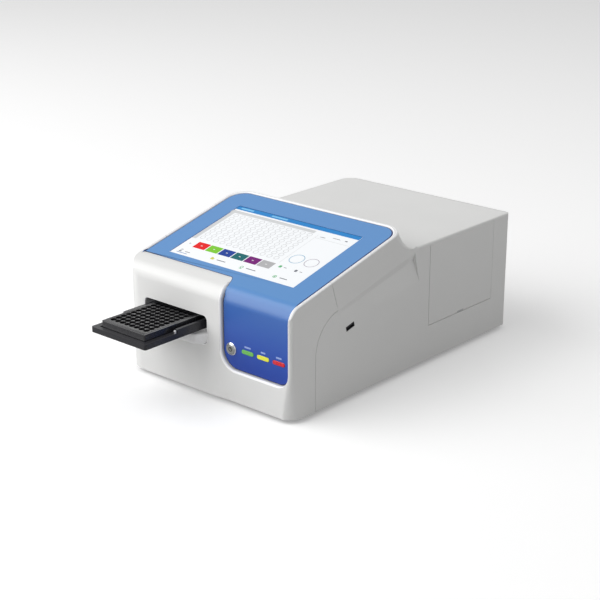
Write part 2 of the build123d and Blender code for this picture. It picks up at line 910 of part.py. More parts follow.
nose_width = slot_width - 2 * nose_play
nose_window = 84.0
nose_window_length = nose_back - slide_length - nose_wall + nose_reach - 3
pad_side = 46.0
with BuildPart() as tray_support:
    with BuildSketch(flat(tray_x, (nose_back - nose_reach) / 2, nose_low)) as nose:
        Rectangle(nose_width, nose_back + nose_reach)
        for side in (-1, 1):
            near = (side * nose_width / 2, -(nose_back + nose_reach) / 2, 0)
            fillet(nose.vertices().sort_by_distance(near)[0], nose_radius)
    extrude(amount=nose_height)
    fillet(tray_support.edges().group_by(Axis.Z)[-1], 1.5)
    fillet(tray_support.edges().group_by(Axis.Z)[0], nose_corner)
    with BuildSketch(flat(tray_x, nose_window_length / 2 - nose_reach + nose_wall, nose_low)):
        RectangleRounded(nose_window, nose_window_length, 3)
    extrude(amount=nose_height, mode=Mode.SUBTRACT)
    with BuildSketch(flat(tray_x, carrier_back / 2, nose_low + nose_height)):
        with Locations((-pad_side, 0), (pad_side, 0)):
            Rectangle(8, carrier_back - 8)
    extrude(amount=carrier_low - nose_low - nose_height)
save(tray_support.part, "tray_support")

slide_half = 60.0
slide_low = nose_low - slide_height
rod_places = (tray_x - rod_spread, tray_x + rod_spread)
with BuildPart() as tray_slide:
    slide_span = (nose_back - slide_length, nose_back)
    add(box_between((tray_x - slide_half, tray_x + slide_half), slide_span, (slide_low, nose_low)))
    with BuildSketch(across(0, nose_back, rod_height)):
        with Locations(*[(x, 0) for x in rod_places]):
            Circle(bearing_radius)
    extrude(amount=slide_length, mode=Mode.SUBTRACT)
    chamfer(tray_slide.edges().filter_by(Axis.Y).group_by(Axis.Z)[0], 2)
save(tray_slide.part, "tray_slide")

with BuildPart() as slide_bearings:
    for x in rod_places:
        add(bar(across(x, nose_back, rod_height), bearing_radius, slide_length, rod_radius + running_fit))
save(slide_bearings.part, "slide_bearings")

strand_x = belt_x - pulley_radius - belt_thickness
clamp_middle = nose_back - slide_length / 2
with BuildPart() as belt_clamp:
    clamp_span = (clamp_middle - clamp_length / 2, clamp_middle + clamp_length / 2)
    jaw = 2.0
    clamp_sides = (tray_x + slide_half, belt_x - pulley_radius + jaw)
    add(box_between(clamp_sides, clamp_span, (belt_low - jaw, belt_low + belt_width + jaw)))
    belt_space = box_between(
        (strand_x - 2 * running_fit, belt_x - pulley_radius + 2 * running_fit),
        clamp_span,
        (belt_low - 2 * running_fit, belt_low + belt_width + 2 * running_fit),
    )
    add(belt_space, mode=Mode.SUBTRACT)
save(belt_clamp.part, "belt_clamp")

# Tray guides, belt and drive

liner_gap = 0.5
liner_wall = 1.5
liner_back = 16.0
with BuildPart() as slot_liner:
    add(slot_prism(liner_gap + liner_wall, wall + fit_gap, liner_back - wall - fit_gap))
    add(slot_prism(liner_gap, 0, 2 * liner_back), mode=Mode.SUBTRACT)
save(slot_liner.part, "slot_liner")

bracket_top = slot_low - liner_gap - liner_wall - fit_gap
bracket_rear = rod_overlap - bracket_thickness
with BuildPart() as rod_brackets:
    for start in (bracket_front, bracket_rear):
        span = (start, start + bracket_thickness)
        half = bracket_width / 2
        add(box_between((tray_x - half, tray_x + half), span, (floor_thickness, bracket_top)))
        gate = half - bracket_leg
        gate_box = box_between(
            (tray_x - gate, tray_x + gate), span, (floor_thickness, rod_height - bearing_radius)
        )
        add(gate_box, mode=Mode.SUBTRACT)
    for x in rod_places:
        rod_room = bar(across(x, rod_overlap, rod_height), rod_radius + running_fit, rod_overlap)
        add(rod_room, mode=Mode.SUBTRACT)
save(rod_brackets.part, "rod_brackets")

with BuildPart() as guide_rods:
    for x in rod_places:
        add(bar(across(x, rod_overlap, rod_height), rod_radius, rod_overlap - bracket_front))
save(guide_rods.part, "guide_rods")

motor_top = floor_thickness + motor_height
with BuildPart() as drive_motor:
    with BuildSketch(flat(belt_x, motor_depth, floor_thickness)) as footprint:
        Rectangle(motor_side, motor_side)
        chamfer(footprint.vertices(), 4)
    extrude(amount=motor_height)
    with BuildSketch(flat(belt_x, motor_depth, motor_top)):
        Circle(11)
    extrude(amount=2)
    with BuildSketch(flat(belt_x, motor_depth, floor_thickness)):
        Circle(motor_shaft + fit_gap)
    extrude(amount=motor_height + 2, mode=Mode.SUBTRACT)
save(drive_motor.part, "drive_motor")

pulley_low = belt_low - (pulley_height - belt_width) / 2
pulley_top = pulley_low + pulley_height
flange_thickness = 1.2
flange_radius = pulley_radius + 2
with BuildPart() as motor_spindle:
    with BuildSketch(flat(belt_x, motor_depth, motor_top / 2)):
        Circle(motor_shaft)
    extrude(amount=pulley_top + 2 - motor_top / 2)
save(motor_spindle.part, "motor_spindle")

for name, place in (("drive_pulley", motor_depth), ("idler_pulley", idler_depth)):
    with BuildPart() as pulley:
        with BuildSketch(flat(belt_x, place, pulley_low)):
            Circle(pulley_radius)
        extrude(amount=pulley_height)
        for low in (pulley_low, pulley_top - flange_thickness):
            with BuildSketch(flat(belt_x, place, low)):
                Circle(flange_radius)
            extrude(amount=flange_thickness)
        with BuildSketch(flat(belt_x, place, pulley_low)):
            Circle(motor_shaft + running_fit)
            with PolarLocations(pulley_radius - 3, 5):
                Circle(0.9)
        extrude(amount=pulley_height, mode=Mode.SUBTRACT)
    save(pulley.part, name)

with BuildPart() as idler_post:
    with BuildSketch(flat(belt_x, idler_depth, floor_thickness)):
        Circle(flange_radius - 1)
    extrude(amount=3)
    with BuildSketch(flat(belt_x, idler_depth, floor_thickness)):
        Circle(motor_shaft + 2)
    extrude(amount=pulley_low - fit_gap - floor_thickness)
    with BuildSketch(flat(belt_x, idler_depth, floor_thickness)):
        Circle(motor_shaft)
    extrude(amount=pulley_top + 2 - floor_thickness)
    with BuildSketch(flat(belt_x, idler_depth, pulley_top + fit_gap)):
        Circle(motor_shaft + 2)
    extrude(amount=2)
save(idler_post.part, "idler_post")

belt_run = motor_depth - idler_depth
belt_inner = pulley_radius + running_fit
with BuildPart() as drive_belt:
    with BuildSketch(flat(belt_x, (motor_depth + idler_depth) / 2, belt_low)):
        SlotCenterToCenter(belt_run, 2 * (belt_inner + belt_thickness), rotation=90)
        SlotCenterToCenter(belt_run, 2 * belt_inner, rotation=90, mode=Mode.SUBTRACT)
    extrude(amount=belt_width)
save(drive_belt.part, "drive_belt")

# Read head on its bridge, photodiodes below

bridge_top = head_low + head_height
bridge_span = (read_depth - bridge_length / 2, read_depth + bridge_length / 2)
bridge_foot = 8.0
with BuildPart() as optics_bridge:
    left = tray_x - bridge_left
    right = tray_x + bridge_right
    add(box_between((left, right), bridge_span, (bridge_top, bridge_top + bridge_thickness)))
    add(box_between((left, left + bridge_thickness), bridge_span, (floor_thickness, bridge_top)))
    add(box_between((right - bridge_thickness, right), bridge_span, (floor_thickness, bridge_top)))
    foot_levels = (floor_thickness, floor_thickness + bridge_thickness)
    add(box_between((left - bridge_foot, left), bridge_span, foot_levels))
    add(box_between((right, right + bridge_foot - 2), bridge_span, foot_levels))
    with BuildSketch(flat(tray_x, read_depth, bridge_top)):
        Circle(fibre_radius + 1)
    extrude(amount=bridge_thickness, mode=Mode.SUBTRACT)
    fillet(optics_bridge.edges().filter_by(Axis.Y).group_by(Axis.Z)[-1], 2)
save(optics_bridge.part, "optics_bridge")

fibre_end = 12.0
with BuildPart() as read_head:
    with BuildSketch(flat(tray_x, read_depth, head_low)):
        RectangleRounded(head_width, head_length, 2)
    extrude(amount=head_height)
    with BuildSketch(flat(tray_x, read_depth, head_low)):
        with GridLocations(well_pitch, 0, well_rows, 1):
            Circle(2.2)
    extrude(amount=4, mode=Mode.SUBTRACT)
    with BuildSketch(flat(tray_x, read_depth, bridge_top - fibre_end)):
        Circle(fibre_radius + running_fit)
    extrude(amount=fibre_end, mode=Mode.SUBTRACT)
save(read_head.part, "read_head")

with BuildPart() as photodiode_board:
    with BuildSketch(flat(tray_x, read_depth, diode_height)):
        Rectangle(head_width, head_length + 4)
    extrude(amount=board_thickness)
    with BuildSketch(flat(tray_x, read_depth, diode_height + board_thickness)):
        with GridLocations(well_pitch, 0, well_rows, 1):
            Circle(2.6)
    extrude(amount=2.5)
save(photodiode_board.part, "photodiode_board")

# Lamp deck with filter wheel, condenser and lamp

deck_front = deck_depth - deck_length / 2
deck_rear = deck_depth + deck_length / 2
deck_top = deck_height + deck_thickness
left_leg_front = motor_depth + motor_side / 2 + 9.0
with BuildPart() as optics_deck:
    add(box_between((deck_left, deck_right), (deck_front, deck_rear), (deck_height, deck_top)))
    left_leg = box_between(
        (deck_left, deck_left + deck_thickness), (left_leg_front, deck_rear), (floor_thickness, deck_height)
    )
    add(left_leg)
    right_leg = box_between(
        (deck_right - deck_thickness, deck_right), (deck_front, deck_rear), (floor_thickness, deck_height)
    )
    add(right_leg)
    with BuildSketch(flat(beam_x, lamp_depth, deck_height)):
        Circle(9)
    extrude(amount=deck_thickness, mode=Mode.SUBTRACT)
    fillet(optics_deck.edges().filter_by(Axis.Y).group_by(Axis.Z)[-1], 2)
save(optics_deck.part, "optics_deck")

lamp_house_wall = 2.0
lamp_house_front = lamp_depth - lamp_house_side / 2
lens_radius = 11.0
with BuildPart() as lamp_house:
    with BuildSketch(flat(beam_x, lamp_depth, deck_top)):
        RectangleRounded(lamp_house_side, lamp_house_side, 4)
    extrude(amount=lamp_house_height)
    with BuildSketch(flat(beam_x, lamp_depth, deck_top)):
        RectangleRounded(lamp_house_side - 2 * lamp_house_wall, lamp_house_side - 2 * lamp_house_wall, 2)
    extrude(amount=lamp_house_height - lamp_house_wall, mode=Mode.SUBTRACT)
    with BuildSketch(flat(beam_x, lamp_depth, deck_top + lamp_house_height - lamp_house_wall)):
        with GridLocations(0, 7, 1, 4):
            SlotOverall(28, 3.4)
    extrude(amount=lamp_house_wall, mode=Mode.SUBTRACT)
    with BuildSketch(across(beam_x, lamp_house_front + lamp_house_wall, beam_height)):
        Circle(lens_radius)
    extrude(amount=lamp_house_wall, mode=Mode.SUBTRACT)
save(lamp_house.part, "lamp_house")

lamp_base_height = 34.0
bulb_height = 28.0
with BuildPart() as halogen_lamp:
    with BuildSketch(flat(beam_x, lamp_depth, deck_top)):
        Circle(12)
    extrude(amount=lamp_base_height)
    with BuildSketch(flat(beam_x, lamp_depth, deck_top + lamp_base_height)):
        Circle(5.5)
    extrude(amount=bulb_height)
    fillet(halogen_lamp.edges().group_by(Axis.Z)[-1], 4)
save(halogen_lamp.part, "halogen_lamp")

lens_depth = deck_depth + 4.0
lens_thickness = 8.0
mount_width = 34.0
with BuildPart() as lens_mount:
    mount_box = box_between(
        (beam_x - mount_width / 2, beam_x + mount_width / 2),
        (lens_depth, lens_depth + lens_thickness + 2),
        (deck_top, beam_height + lens_radius + 6),
    )
    add(mount_box)
    with BuildSketch(across(beam_x, lens_depth + lens_thickness + 2, beam_height)):
        Circle(lens_radius)
    extrude(amount=lens_thickness + 2, mode=Mode.SUBTRACT)
    fillet(lens_mount.edges().filter_by(Axis.Y).group_by(Axis.Z)[-1], 6)
save(lens_mount.part, "lens_mount")

with BuildPart() as condenser_lens:
    lens_back = across(beam_x, lens_depth + 1 + lens_thickness, beam_height)
    add(bar(lens_back, lens_radius - running_fit, lens_thickness))
    fillet(condenser_lens.edges().filter_by(GeomType.CIRCLE), 3)
save(condenser_lens.part, "condenser_lens")

wheel_x = beam_x - wheel_offset
plate_depth = wheel_depth - 7.0
wheel_plate = 3.0
wheel_motor_radius = 18.0
wheel_motor_length = 30.0
coupler_radius = 7.0
coupler_length = 21.0
spindle_radius = 2.5
with BuildPart() as wheel_bracket:
    plate_reach = (wheel_x - wheel_offset, beam_x + coupler_radius + 7)
    add(box_between(plate_reach, (plate_depth, plate_depth + wheel_plate), (deck_top, beam_height + 24)))
    add(box_between(plate_reach, (plate_depth - 22, plate_depth), (deck_top, deck_top + wheel_plate)))
    with BuildSketch(across(0, plate_depth + wheel_plate, beam_height)):
        with Locations((beam_x, 0)):
            Circle(coupler_radius + running_fit)
        with Locations((wheel_x, 0)):
            Circle(spindle_radius + 1)
    extrude(amount=wheel_plate, mode=Mode.SUBTRACT)
save(wheel_bracket.part, "wheel_bracket")

with BuildPart() as wheel_motor:
    add(bar(across(wheel_x, plate_depth, beam_height), wheel_motor_radius, wheel_motor_length))
    chamfer(wheel_motor.edges().filter_by(GeomType.CIRCLE), 1.5)
    spindle_room = bar(across(wheel_x, plate_depth, beam_height), spindle_radius + fit_gap, 10)
    add(spindle_room, mode=Mode.SUBTRACT)
save(wheel_motor.part, "wheel_motor")

wheel_back = wheel_depth + wheel_thickness
with BuildPart() as filter_wheel:
    with BuildSketch(across(wheel_x, wheel_back, beam_height)):
        Circle(wheel_radius)
        with PolarLocations(wheel_offset, filter_count):
            Circle(filter_radius + running_fit, mode=Mode.SUBTRACT)
    extrude(amount=wheel_thickness)
    add(bar(across(wheel_x, wheel_back, beam_height), spindle_radius + 4, wheel_thickness + 3))
    add(bar(across(wheel_x, wheel_back, beam_height), spindle_radius, wheel_back - plate_depth + 8))
save(filter_wheel.part, "filter_wheel")

with BuildPart() as optical_filters:
    with BuildSketch(across(wheel_x, wheel_back - 0.5, beam_height)):
        with PolarLocations(wheel_offset, filter_count):
            Circle(filter_radius)
    extrude(amount=wheel_thickness - 1)
save(optical_filters.part, "optical_filters")

coupler_back = plate_depth + wheel_plate
fibre_peak = 164.0
fibre_turn = 200.0
with BuildPart() as fibre_bundle:
    start = (beam_x, depth(coupler_back - 2), height(beam_height))
    finish = (tray_x, depth(read_depth), height(bridge_top - fibre_end + fit_gap))
    with BuildLine() as path:
        turn = (beam_x, depth(fibre_turn), height(beam_height))
        peak = (tray_x, depth(read_depth), height(fibre_peak))
        FilletPolyline(start, turn, peak, finish, radius=14)
    with BuildSketch(Plane(origin=start, z_dir=(0, -1, 0))):
        Circle(fibre_radius)
    sweep()
    add(bar(across(beam_x, coupler_back, beam_height), coupler_radius, coupler_length))
save(fibre_bundle.part, "fibre_bundle")

# Electronics on the base

main_left = deck_left + 6.0
main_right = deck_right
main_front = 40.0
main_back = 280.0
main_height = 10.0
main_top = main_height + board_thickness
main_middle = ((main_left + main_right) / 2, (main_front + main_back) / 2)
stud_span = (main_right - main_left - 12, main_back - main_front - 12)
with BuildPart() as main_board:
    add(box_between((main_left, main_right), (main_front, main_back), (main_height, main_top)))
    with BuildSketch(flat(*main_middle, main_height)):
        with GridLocations(*stud_span, 2, 2):
            Circle(1.7)
    extrude(amount=board_thickness, mode=Mode.SUBTRACT)
    for x, y, wide, long, tall in (
        (40, 70, 32, 32, 3),
        (78, 56, 18, 26, 2.4),
        (28, 140, 22, 22, 2.4),
        (80, 130, 24, 60, 9),
        (38, 200, 40, 14, 8),
        (20, 22, 22, 12, 10),
    ):
        chip_x = main_left + x
        chip_y = main_front + y
        chip_span = (chip_y - long / 2, chip_y + long / 2)
        add(box_between((chip_x - wide / 2, chip_x + wide / 2), chip_span, (main_top, main_top + tall)))
save(main_board.part, "main_board")

supply_height = 40.0
supply_x = (deck_left + 6.0, deck_right - 6.0)
supply_depth = (300.0, 440.0)
vent_columns = 10
vent_rows = 5
with BuildPart() as power_supply:
    add(box_between(supply_x, supply_depth, (floor_thickness, floor_thickness + supply_height)))
    with BuildSketch(flat(sum(supply_x) / 2, sum(supply_depth) / 2, floor_thickness + supply_height - 1)):
        with GridLocations(8, 24, vent_columns, vent_rows):
            SlotOverall(18, 3.5, rotation=90)
    extrude(amount=1, mode=Mode.SUBTRACT)
save(power_supply.part, "power_supply")

with BuildPart() as side_usb_port:
    with BuildSketch(usb_plane.offset(-wall)):
        Rectangle(usb_width, usb_opening)
    extrude(amount=-usb_length)
    with BuildSketch(usb_plane.offset(-wall)):
        Rectangle(usb_width - 1.6, usb_opening - 1.6)
    extrude(amount=-usb_length + 4, mode=Mode.SUBTRACT)
    with BuildSketch(usb_plane.offset(-wall - usb_length + 4)):
        with Locations((0, 1)):
            Rectangle(usb_width - 5, 1.8)
    extrude(amount=usb_length - 5)
    with BuildSketch(usb_plane.offset(-wall - usb_length)):
        Rectangle(usb_peg_pitch + 8, 14)
    extrude(amount=-board_thickness)
save(side_usb_port.part, "side_usb_port")

# Rear panel with inlet, switch, ports and fan

inlet_width = 27.4
inlet_tall = 20.0
inlet_reach = 26.0
inlet_wall = 2.0
inlet_hollow = 17.0
rocker_width = 13.0
rocker_tall = 19.4
port_width = 13.2
port_tall = 5.8
port_pitch = 24.0
serial_x = ports_x + 62.0
serial_width = 31.0
serial_tall = 12.6
grille_pitch = 6.0
grille_rings = 4
head_recess = 1.8


def behind(x, y_depth, z_height):
    # A plane facing away from the operator, centred on a point.
    return Plane(
        origin=(x, depth(y_depth), height(z_height)), x_dir=(-1, 0, 0), z_dir=(0, 1, 0)
    )


port_places = [(-(ports_x + i * port_pitch), ports_height) for i in range(2)]
with BuildPart() as rear_panel:
    add(outer_form)
    rear_keep = box_between(
        (-body_width, body_width), (rear_inner, 2 * body_depth), (-wall, 2 * body_height)
    )
    add(rear_keep, mode=Mode.INTERSECT)
    with BuildSketch(behind(0, rear_inner, 0)):
        with Locations(*rear_screw_backs):
            Circle(screw_radius + 0.1)
        with Locations((-inlet_x, inlet_height)):
            Rectangle(inlet_width + 2 * fit_gap, inlet_tall + 2 * fit_gap)
        with Locations((-switch_x, inlet_height)):
            Rectangle(rocker_width + 2 * fit_gap, rocker_tall + 2 * fit_gap)
        with Locations(*port_places):
            Rectangle(port_width + 2 * fit_gap, port_tall + 2 * fit_gap)
        with Locations((-serial_x, ports_height)):
            Rectangle(serial_width + 2 * fit_gap, serial_tall + 2 * fit_gap)
        with Locations((-fan_x, fan_height)):
            Circle(2.2)
        for ring in range(1, grille_rings + 1):
            with Locations((-fan_x, fan_height)):
                with PolarLocations(ring * grille_pitch, 6 * ring):
                    Circle(2.2)
    extrude(amount=rear_thickness, mode=Mode.SUBTRACT)
    with BuildSketch(behind(0, body_depth - head_recess, 0)):
        with Locations(*rear_screw_backs):
            Circle(3.2)
    extrude(amount=head_recess, mode=Mode.SUBTRACT)
save(rear_panel.part, "rear_panel")

with BuildPart() as mains_inlet:
    with BuildSketch(behind(inlet_x, body_depth - inlet_reach, inlet_height)):
        Rectangle(inlet_width, inlet_tall)
    extrude(amount=inlet_reach)
    with BuildSketch(behind(inlet_x, rear_inner - 2, inlet_height)):
        Rectangle(inlet_width + 5, inlet_tall + 5)
    extrude(amount=2)
    with BuildSketch(behind(inlet_x, body_depth - inlet_hollow, inlet_height)) as hollow:
        Rectangle(inlet_width - 2 * inlet_wall, inlet_tall - 2 * inlet_wall)
        chamfer(hollow.vertices().group_by(Axis.Y)[-1], 4)
    extrude(amount=inlet_hollow, mode=Mode.SUBTRACT)
save(mains_inlet.part, "mains_inlet")

with BuildPart() as inlet_pins:
    with BuildSketch(behind(inlet_x, body_depth - inlet_hollow, inlet_height)):
        with Locations((-7, -2), (7, -2), (0, 3)):
            Rectangle(2, 4.5)
    extrude(amount=inlet_hollow - 3)
save(inlet_pins.part, "inlet_pins")

rocker_axis = body_depth - 4.0
rocker_half = 7.4
rocker_tilt = 8.0
with BuildPart() as switch_frame:
    with BuildSketch(behind(switch_x, body_depth - 22, inlet_height)):
        Rectangle(rocker_width, rocker_tall)
    extrude(amount=22)
    with BuildSketch(behind(switch_x, rear_inner - 2, inlet_height)):
        Rectangle(rocker_width + 4, rocker_tall + 4)
    extrude(amount=2)
    with BuildSketch(behind(switch_x, body_depth - 10, inlet_height)):
        Rectangle(rocker_width - 3, rocker_tall - 2.6)
    extrude(amount=10, mode=Mode.SUBTRACT)
    pivot_room = Plane(
        origin=(switch_x - 6, depth(rocker_axis), height(inlet_height)), z_dir=(1, 0, 0)
    )
    add(bar(pivot_room, 1.2 + running_fit, 12), mode=Mode.SUBTRACT)
save(switch_frame.part, "switch_frame")

with BuildPart() as rocker_switch:
    middle = (depth(rocker_axis), height(inlet_height))
    with BuildSketch(Plane.YZ.offset(switch_x)) as rocker:
        with BuildLine():
            outline = (
                (middle[0] - 3, middle[1] - 5.6),
                (middle[0] + 2.4, middle[1] - rocker_half),
                (middle[0] + 1.0, middle[1]),
                (middle[0] + 2.4, middle[1] + rocker_half),
                (middle[0] - 3, middle[1] + 5.6),
            )
            Polyline(*outline, close=True)
        make_face()
    extrude(amount=(rocker_width - 3) / 2 - fit_gap, both=True)
    add(bar(pivot_room.offset(0.2), 1.2, 11.6))
rocker_line = Axis((switch_x, depth(rocker_axis), height(inlet_height)), (1, 0, 0))
save(rocker_switch.part.rotate(rocker_line, -rocker_tilt), "rocker_switch")

port_board_top = ports_height - serial_tall / 2
port_board_low = port_board_top - board_thickness
port_depth = (rear_inner - 19.0, rear_inner - fit_gap)
port_board_x = (ports_x - 16.0, serial_x + 20.0)
port_board_depth = (rear_inner - 29.0, rear_inner - 1)
port_post_span = (port_board_x[1] - port_board_x[0] - 18, port_board_depth[1] - port_board_depth[0] - 12)
with BuildPart() as rear_ports:
    for x, wide, tall in (
        (ports_x, port_width, port_tall),
        (ports_x + port_pitch, port_width, port_tall),
        (serial_x, serial_width, serial_tall),
    ):
        top = ports_height + tall / 2
        add(box_between((x - wide / 2, x + wide / 2), port_depth, (port_board_top, top)))
        snout = box_between(
            (x - wide / 2, x + wide / 2), (port_depth[1], body_depth), (ports_height - tall / 2, top)
        )
        add(snout)
        with BuildSketch(behind(x, body_depth - 9, ports_height)):
            Rectangle(wide - 1.6, tall - 1.6)
        extrude(amount=9, mode=Mode.SUBTRACT)
        with BuildSketch(behind(x, body_depth - 9, ports_height)):
            Rectangle(wide - 4, tall / 4)
        extrude(amount=7.5)
    add(box_between(port_board_x, port_board_depth, (port_board_low, port_board_top)))
save(rear_ports.part, "rear_ports")

fan_front = rear_inner - fan_thickness
fan_bore = fan_side / 2 - 2
fan_hub = 12.0
with BuildPart() as fan_frame:
    with BuildSketch(across(fan_x, rear_inner, fan_height)):
        RectangleRounded(fan_side, fan_side, 3)
        Circle(fan_bore, mode=Mode.SUBTRACT)
    extrude(amount=fan_thickness)
    with BuildSketch(across(fan_x, rear_inner, fan_height)):
        Circle(fan_hub)
        Rectangle(fan_side - 2, 3)
        Rectangle(3, fan_side - 2)
    extrude(amount=3)
    add(bar(across(fan_x, rear_inner, fan_height), 2.5, fan_thickness - 3))
save(fan_frame.part, "fan_frame")

rotor_back = rear_inner - 3.5
rotor_length = 13.0
blade_pitch = 40.0
with BuildPart() as fan_rotor:
    add(bar(across(fan_x, rotor_back, fan_height), fan_hub, rotor_length))
    for index in range(7):
        turn = index * 360 / 7
        blade_plane = Plane(
            origin=(
                fan_x + (fan_hub - 1) * cos(radians(turn)),
                depth(rotor_back - rotor_length / 2),
                height(fan_height) + (fan_hub - 1) * sin(radians(turn)),
            ),
            x_dir=(
                -sin(radians(turn)) * cos(radians(blade_pitch)),
                sin(radians(blade_pitch)),
                cos(radians(turn)) * cos(radians(blade_pitch)),
            ),
            z_dir=(cos(radians(turn)), 0, sin(radians(turn))),
        )
        with BuildSketch(blade_plane):
            Rectangle(15, 1.4)
        extrude(amount=fan_bore - fan_hub - 0.8)
    add(bar(across(fan_x, rotor_back, fan_height), 2.5 + running_fit, 2 * rotor_length), mode=Mode.SUBTRACT)
save(fan_rotor.part, "fan_rotor")

# Standoffs and screws

with BuildPart() as board_standoffs:
    for dx in (-1, 1):
        for dz in (-1, 1):
            place = (
                lamp_x + lamp_pitch + dx * (board_width - 8) / 2,
                board_depth,
                control_height + 1.3 + dz * (board_height - 8) / 2,
            )
            start = panel_front + panel_thickness + wall
            add(bar(across(*place), 2.8, board_depth - start, 1.2))
    with BuildSketch(flat(tray_x, read_depth, floor_thickness)):
        with GridLocations(head_width - 8, head_length - 4, 2, 2):
            Circle(2.5)
    extrude(amount=diode_height - floor_thickness)
    with BuildSketch(flat(*main_middle, floor_thickness)):
        with GridLocations(*stud_span, 2, 2):
            Circle(3)
            Circle(screw_radius, mode=Mode.SUBTRACT)
    extrude(amount=main_height - floor_thickness)
    with BuildSketch(flat(sum(port_board_x) / 2, sum(port_board_depth) / 2, floor_thickness)):
        with GridLocations(*port_post_span, 2, 2):
            Circle(3)
    extrude(amount=port_board_low - floor_thickness)
save(board_standoffs.part, "board_standoffs")

with BuildPart() as screws:
    for radius, low, long in ((3.8, foot_height / 2 - 2.4, 2.4), (2.0, foot_height / 2, 7.0)):
        with BuildSketch(Plane.XY.offset(low)):
            with Locations(foot_middle):
                with GridLocations(foot_span_x, foot_span_y, 2, 2):
                    Circle(radius)
        extrude(amount=long)
    for radius, low, long in ((2.8, main_top, 1.8), (screw_radius - running_fit, main_top - 6, 6)):
        with BuildSketch(flat(*main_middle, low)):
            with GridLocations(*stud_span, 2, 2):
                Circle(radius)
        extrude(amount=long)
    head_start = body_depth - head_recess
    for radius, start, long in ((3.0, head_start, 1.6), (screw_radius - running_fit, head_start - 10, 10)):
        with BuildSketch(behind(0, start, 0)):
            with Locations(*rear_screw_backs):
                Circle(radius)
        extrude(amount=long)
save(screws.part, "screws")
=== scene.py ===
import math
import bpy
from mathutils import Matrix, Vector


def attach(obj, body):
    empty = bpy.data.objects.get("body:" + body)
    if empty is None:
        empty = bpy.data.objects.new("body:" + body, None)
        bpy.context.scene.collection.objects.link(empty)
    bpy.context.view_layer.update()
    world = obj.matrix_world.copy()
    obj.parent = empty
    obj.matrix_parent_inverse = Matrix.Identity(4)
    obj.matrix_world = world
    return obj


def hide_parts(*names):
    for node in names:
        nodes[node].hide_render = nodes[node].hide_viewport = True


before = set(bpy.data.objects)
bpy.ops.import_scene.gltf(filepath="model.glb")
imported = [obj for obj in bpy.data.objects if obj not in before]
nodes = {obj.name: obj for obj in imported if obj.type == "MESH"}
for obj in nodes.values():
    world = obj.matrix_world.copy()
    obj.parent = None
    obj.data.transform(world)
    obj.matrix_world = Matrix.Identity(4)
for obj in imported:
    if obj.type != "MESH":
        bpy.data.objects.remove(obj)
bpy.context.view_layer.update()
print("frame loaded")


# materials

def newMaterial(name):
    material = bpy.data.materials.new(name)
    material.use_nodes = True
    tree = material.node_tree
    shader = tree.nodes["Principled BSDF"]
    return material, tree, shader


def objectCoordinates(tree, scale):
    place = tree.nodes.new("ShaderNodeTexCoord")
    mapping = tree.nodes.new("ShaderNodeMapping")
    mapping.inputs["Scale"].default_value = scale
    tree.links.new(place.outputs["Object"], mapping.inputs["Vector"])
    return mapping.outputs["Vector"]


def noise(tree, vector, scale, detail=3):
    texture = tree.nodes.new("ShaderNodeTexNoise")
    texture.inputs["Scale"].default_value = scale
    texture.inputs["Detail"].default_value = detail
    tree.links.new(vector, texture.inputs["Vector"])
    return texture.outputs["Fac"]


def ramp(tree, factor, stops):
    band = tree.nodes.new("ShaderNodeValToRGB")
    elements = band.color_ramp.elements
    while len(elements) < len(stops):
        elements.new(0.5)
    for element, (place, colour) in zip(elements, stops):
        element.position = place
        element.color = colour if len(colour) == 4 else (*colour, 1)
    tree.links.new(factor, band.inputs["Fac"])
    return band.outputs["Color"]


def mapRange(tree, value, low, high, toLow, toHigh):
    node = tree.nodes.new("ShaderNodeMapRange")
    node.inputs["From Min"].default_value = low
    node.inputs["From Max"].default_value = high
    node.inputs["To Min"].default_value = toLow
    node.inputs["To Max"].default_value = toHigh
    tree.links.new(value, node.inputs["Value"])
    return node.outputs["Result"]


surface = {
    "driftScale": 9, "driftDetail": 4, "driftBand": (0.35, 0.65), "fineDetail": 2, "fineBand": (0.3, 0.7),
    "bumpStrength": 0.35, "coatRoughness": 0.12,
}


def finish(name, colour, roughness=0.4, metallic=0.0, tint=0.03, grain=900, bumpHeight=0.00002,
           stretch=(1, 1, 1), coat=0.0, specular=0.5, wear=0.06, glow=0.0):
    # moulded or machined surface: slow colour drift, fine grain in roughness and relief
    material, tree, shader = newMaterial(name)
    vector = objectCoordinates(tree, stretch)
    drift = noise(tree, vector, surface["driftScale"], surface["driftDetail"])
    fine = noise(tree, vector, grain, surface["fineDetail"])
    dark = tuple(max(0, c * (1 - tint)) for c in colour)
    light = tuple(min(1, c * (1 + tint)) for c in colour)
    shade = ramp(tree, drift, list(zip(surface["driftBand"], (dark, light))))
    tree.links.new(shade, shader.inputs["Base Color"])
    gloss = mapRange(tree, fine, *surface["fineBand"], roughness - wear, roughness + wear)
    tree.links.new(gloss, shader.inputs["Roughness"])
    bump = tree.nodes.new("ShaderNodeBump")
    bump.inputs["Strength"].default_value = surface["bumpStrength"]
    bump.inputs["Distance"].default_value = bumpHeight
    tree.links.new(fine, bump.inputs["Height"])
    tree.links.new(bump.outputs["Normal"], shader.inputs["Normal"])
    shader.inputs["Metallic"].default_value = metallic
    shader.inputs["Coat Weight"].default_value = coat
    shader.inputs["Coat Roughness"].default_value = surface["coatRoughness"]
    shader.inputs["Specular IOR Level"].default_value = specular
    if glow:
        shader.inputs["Emission Color"].default_value = (*colour, 1)
        shader.inputs["Emission Strength"].default_value = glow
    return material


panelTones = {
    "base": (0.09, 0.26, 0.56), "rise": (0.05, 0.17),
    "stops": [(0.0, (0.008, 0.046, 0.34)), (0.30, (0.020, 0.078, 0.42)), (0.72, (0.043, 0.138, 0.46)),
              (0.86, (0.062, 0.190, 0.49)), (0.93, (0.085, 0.268, 0.60))],
}


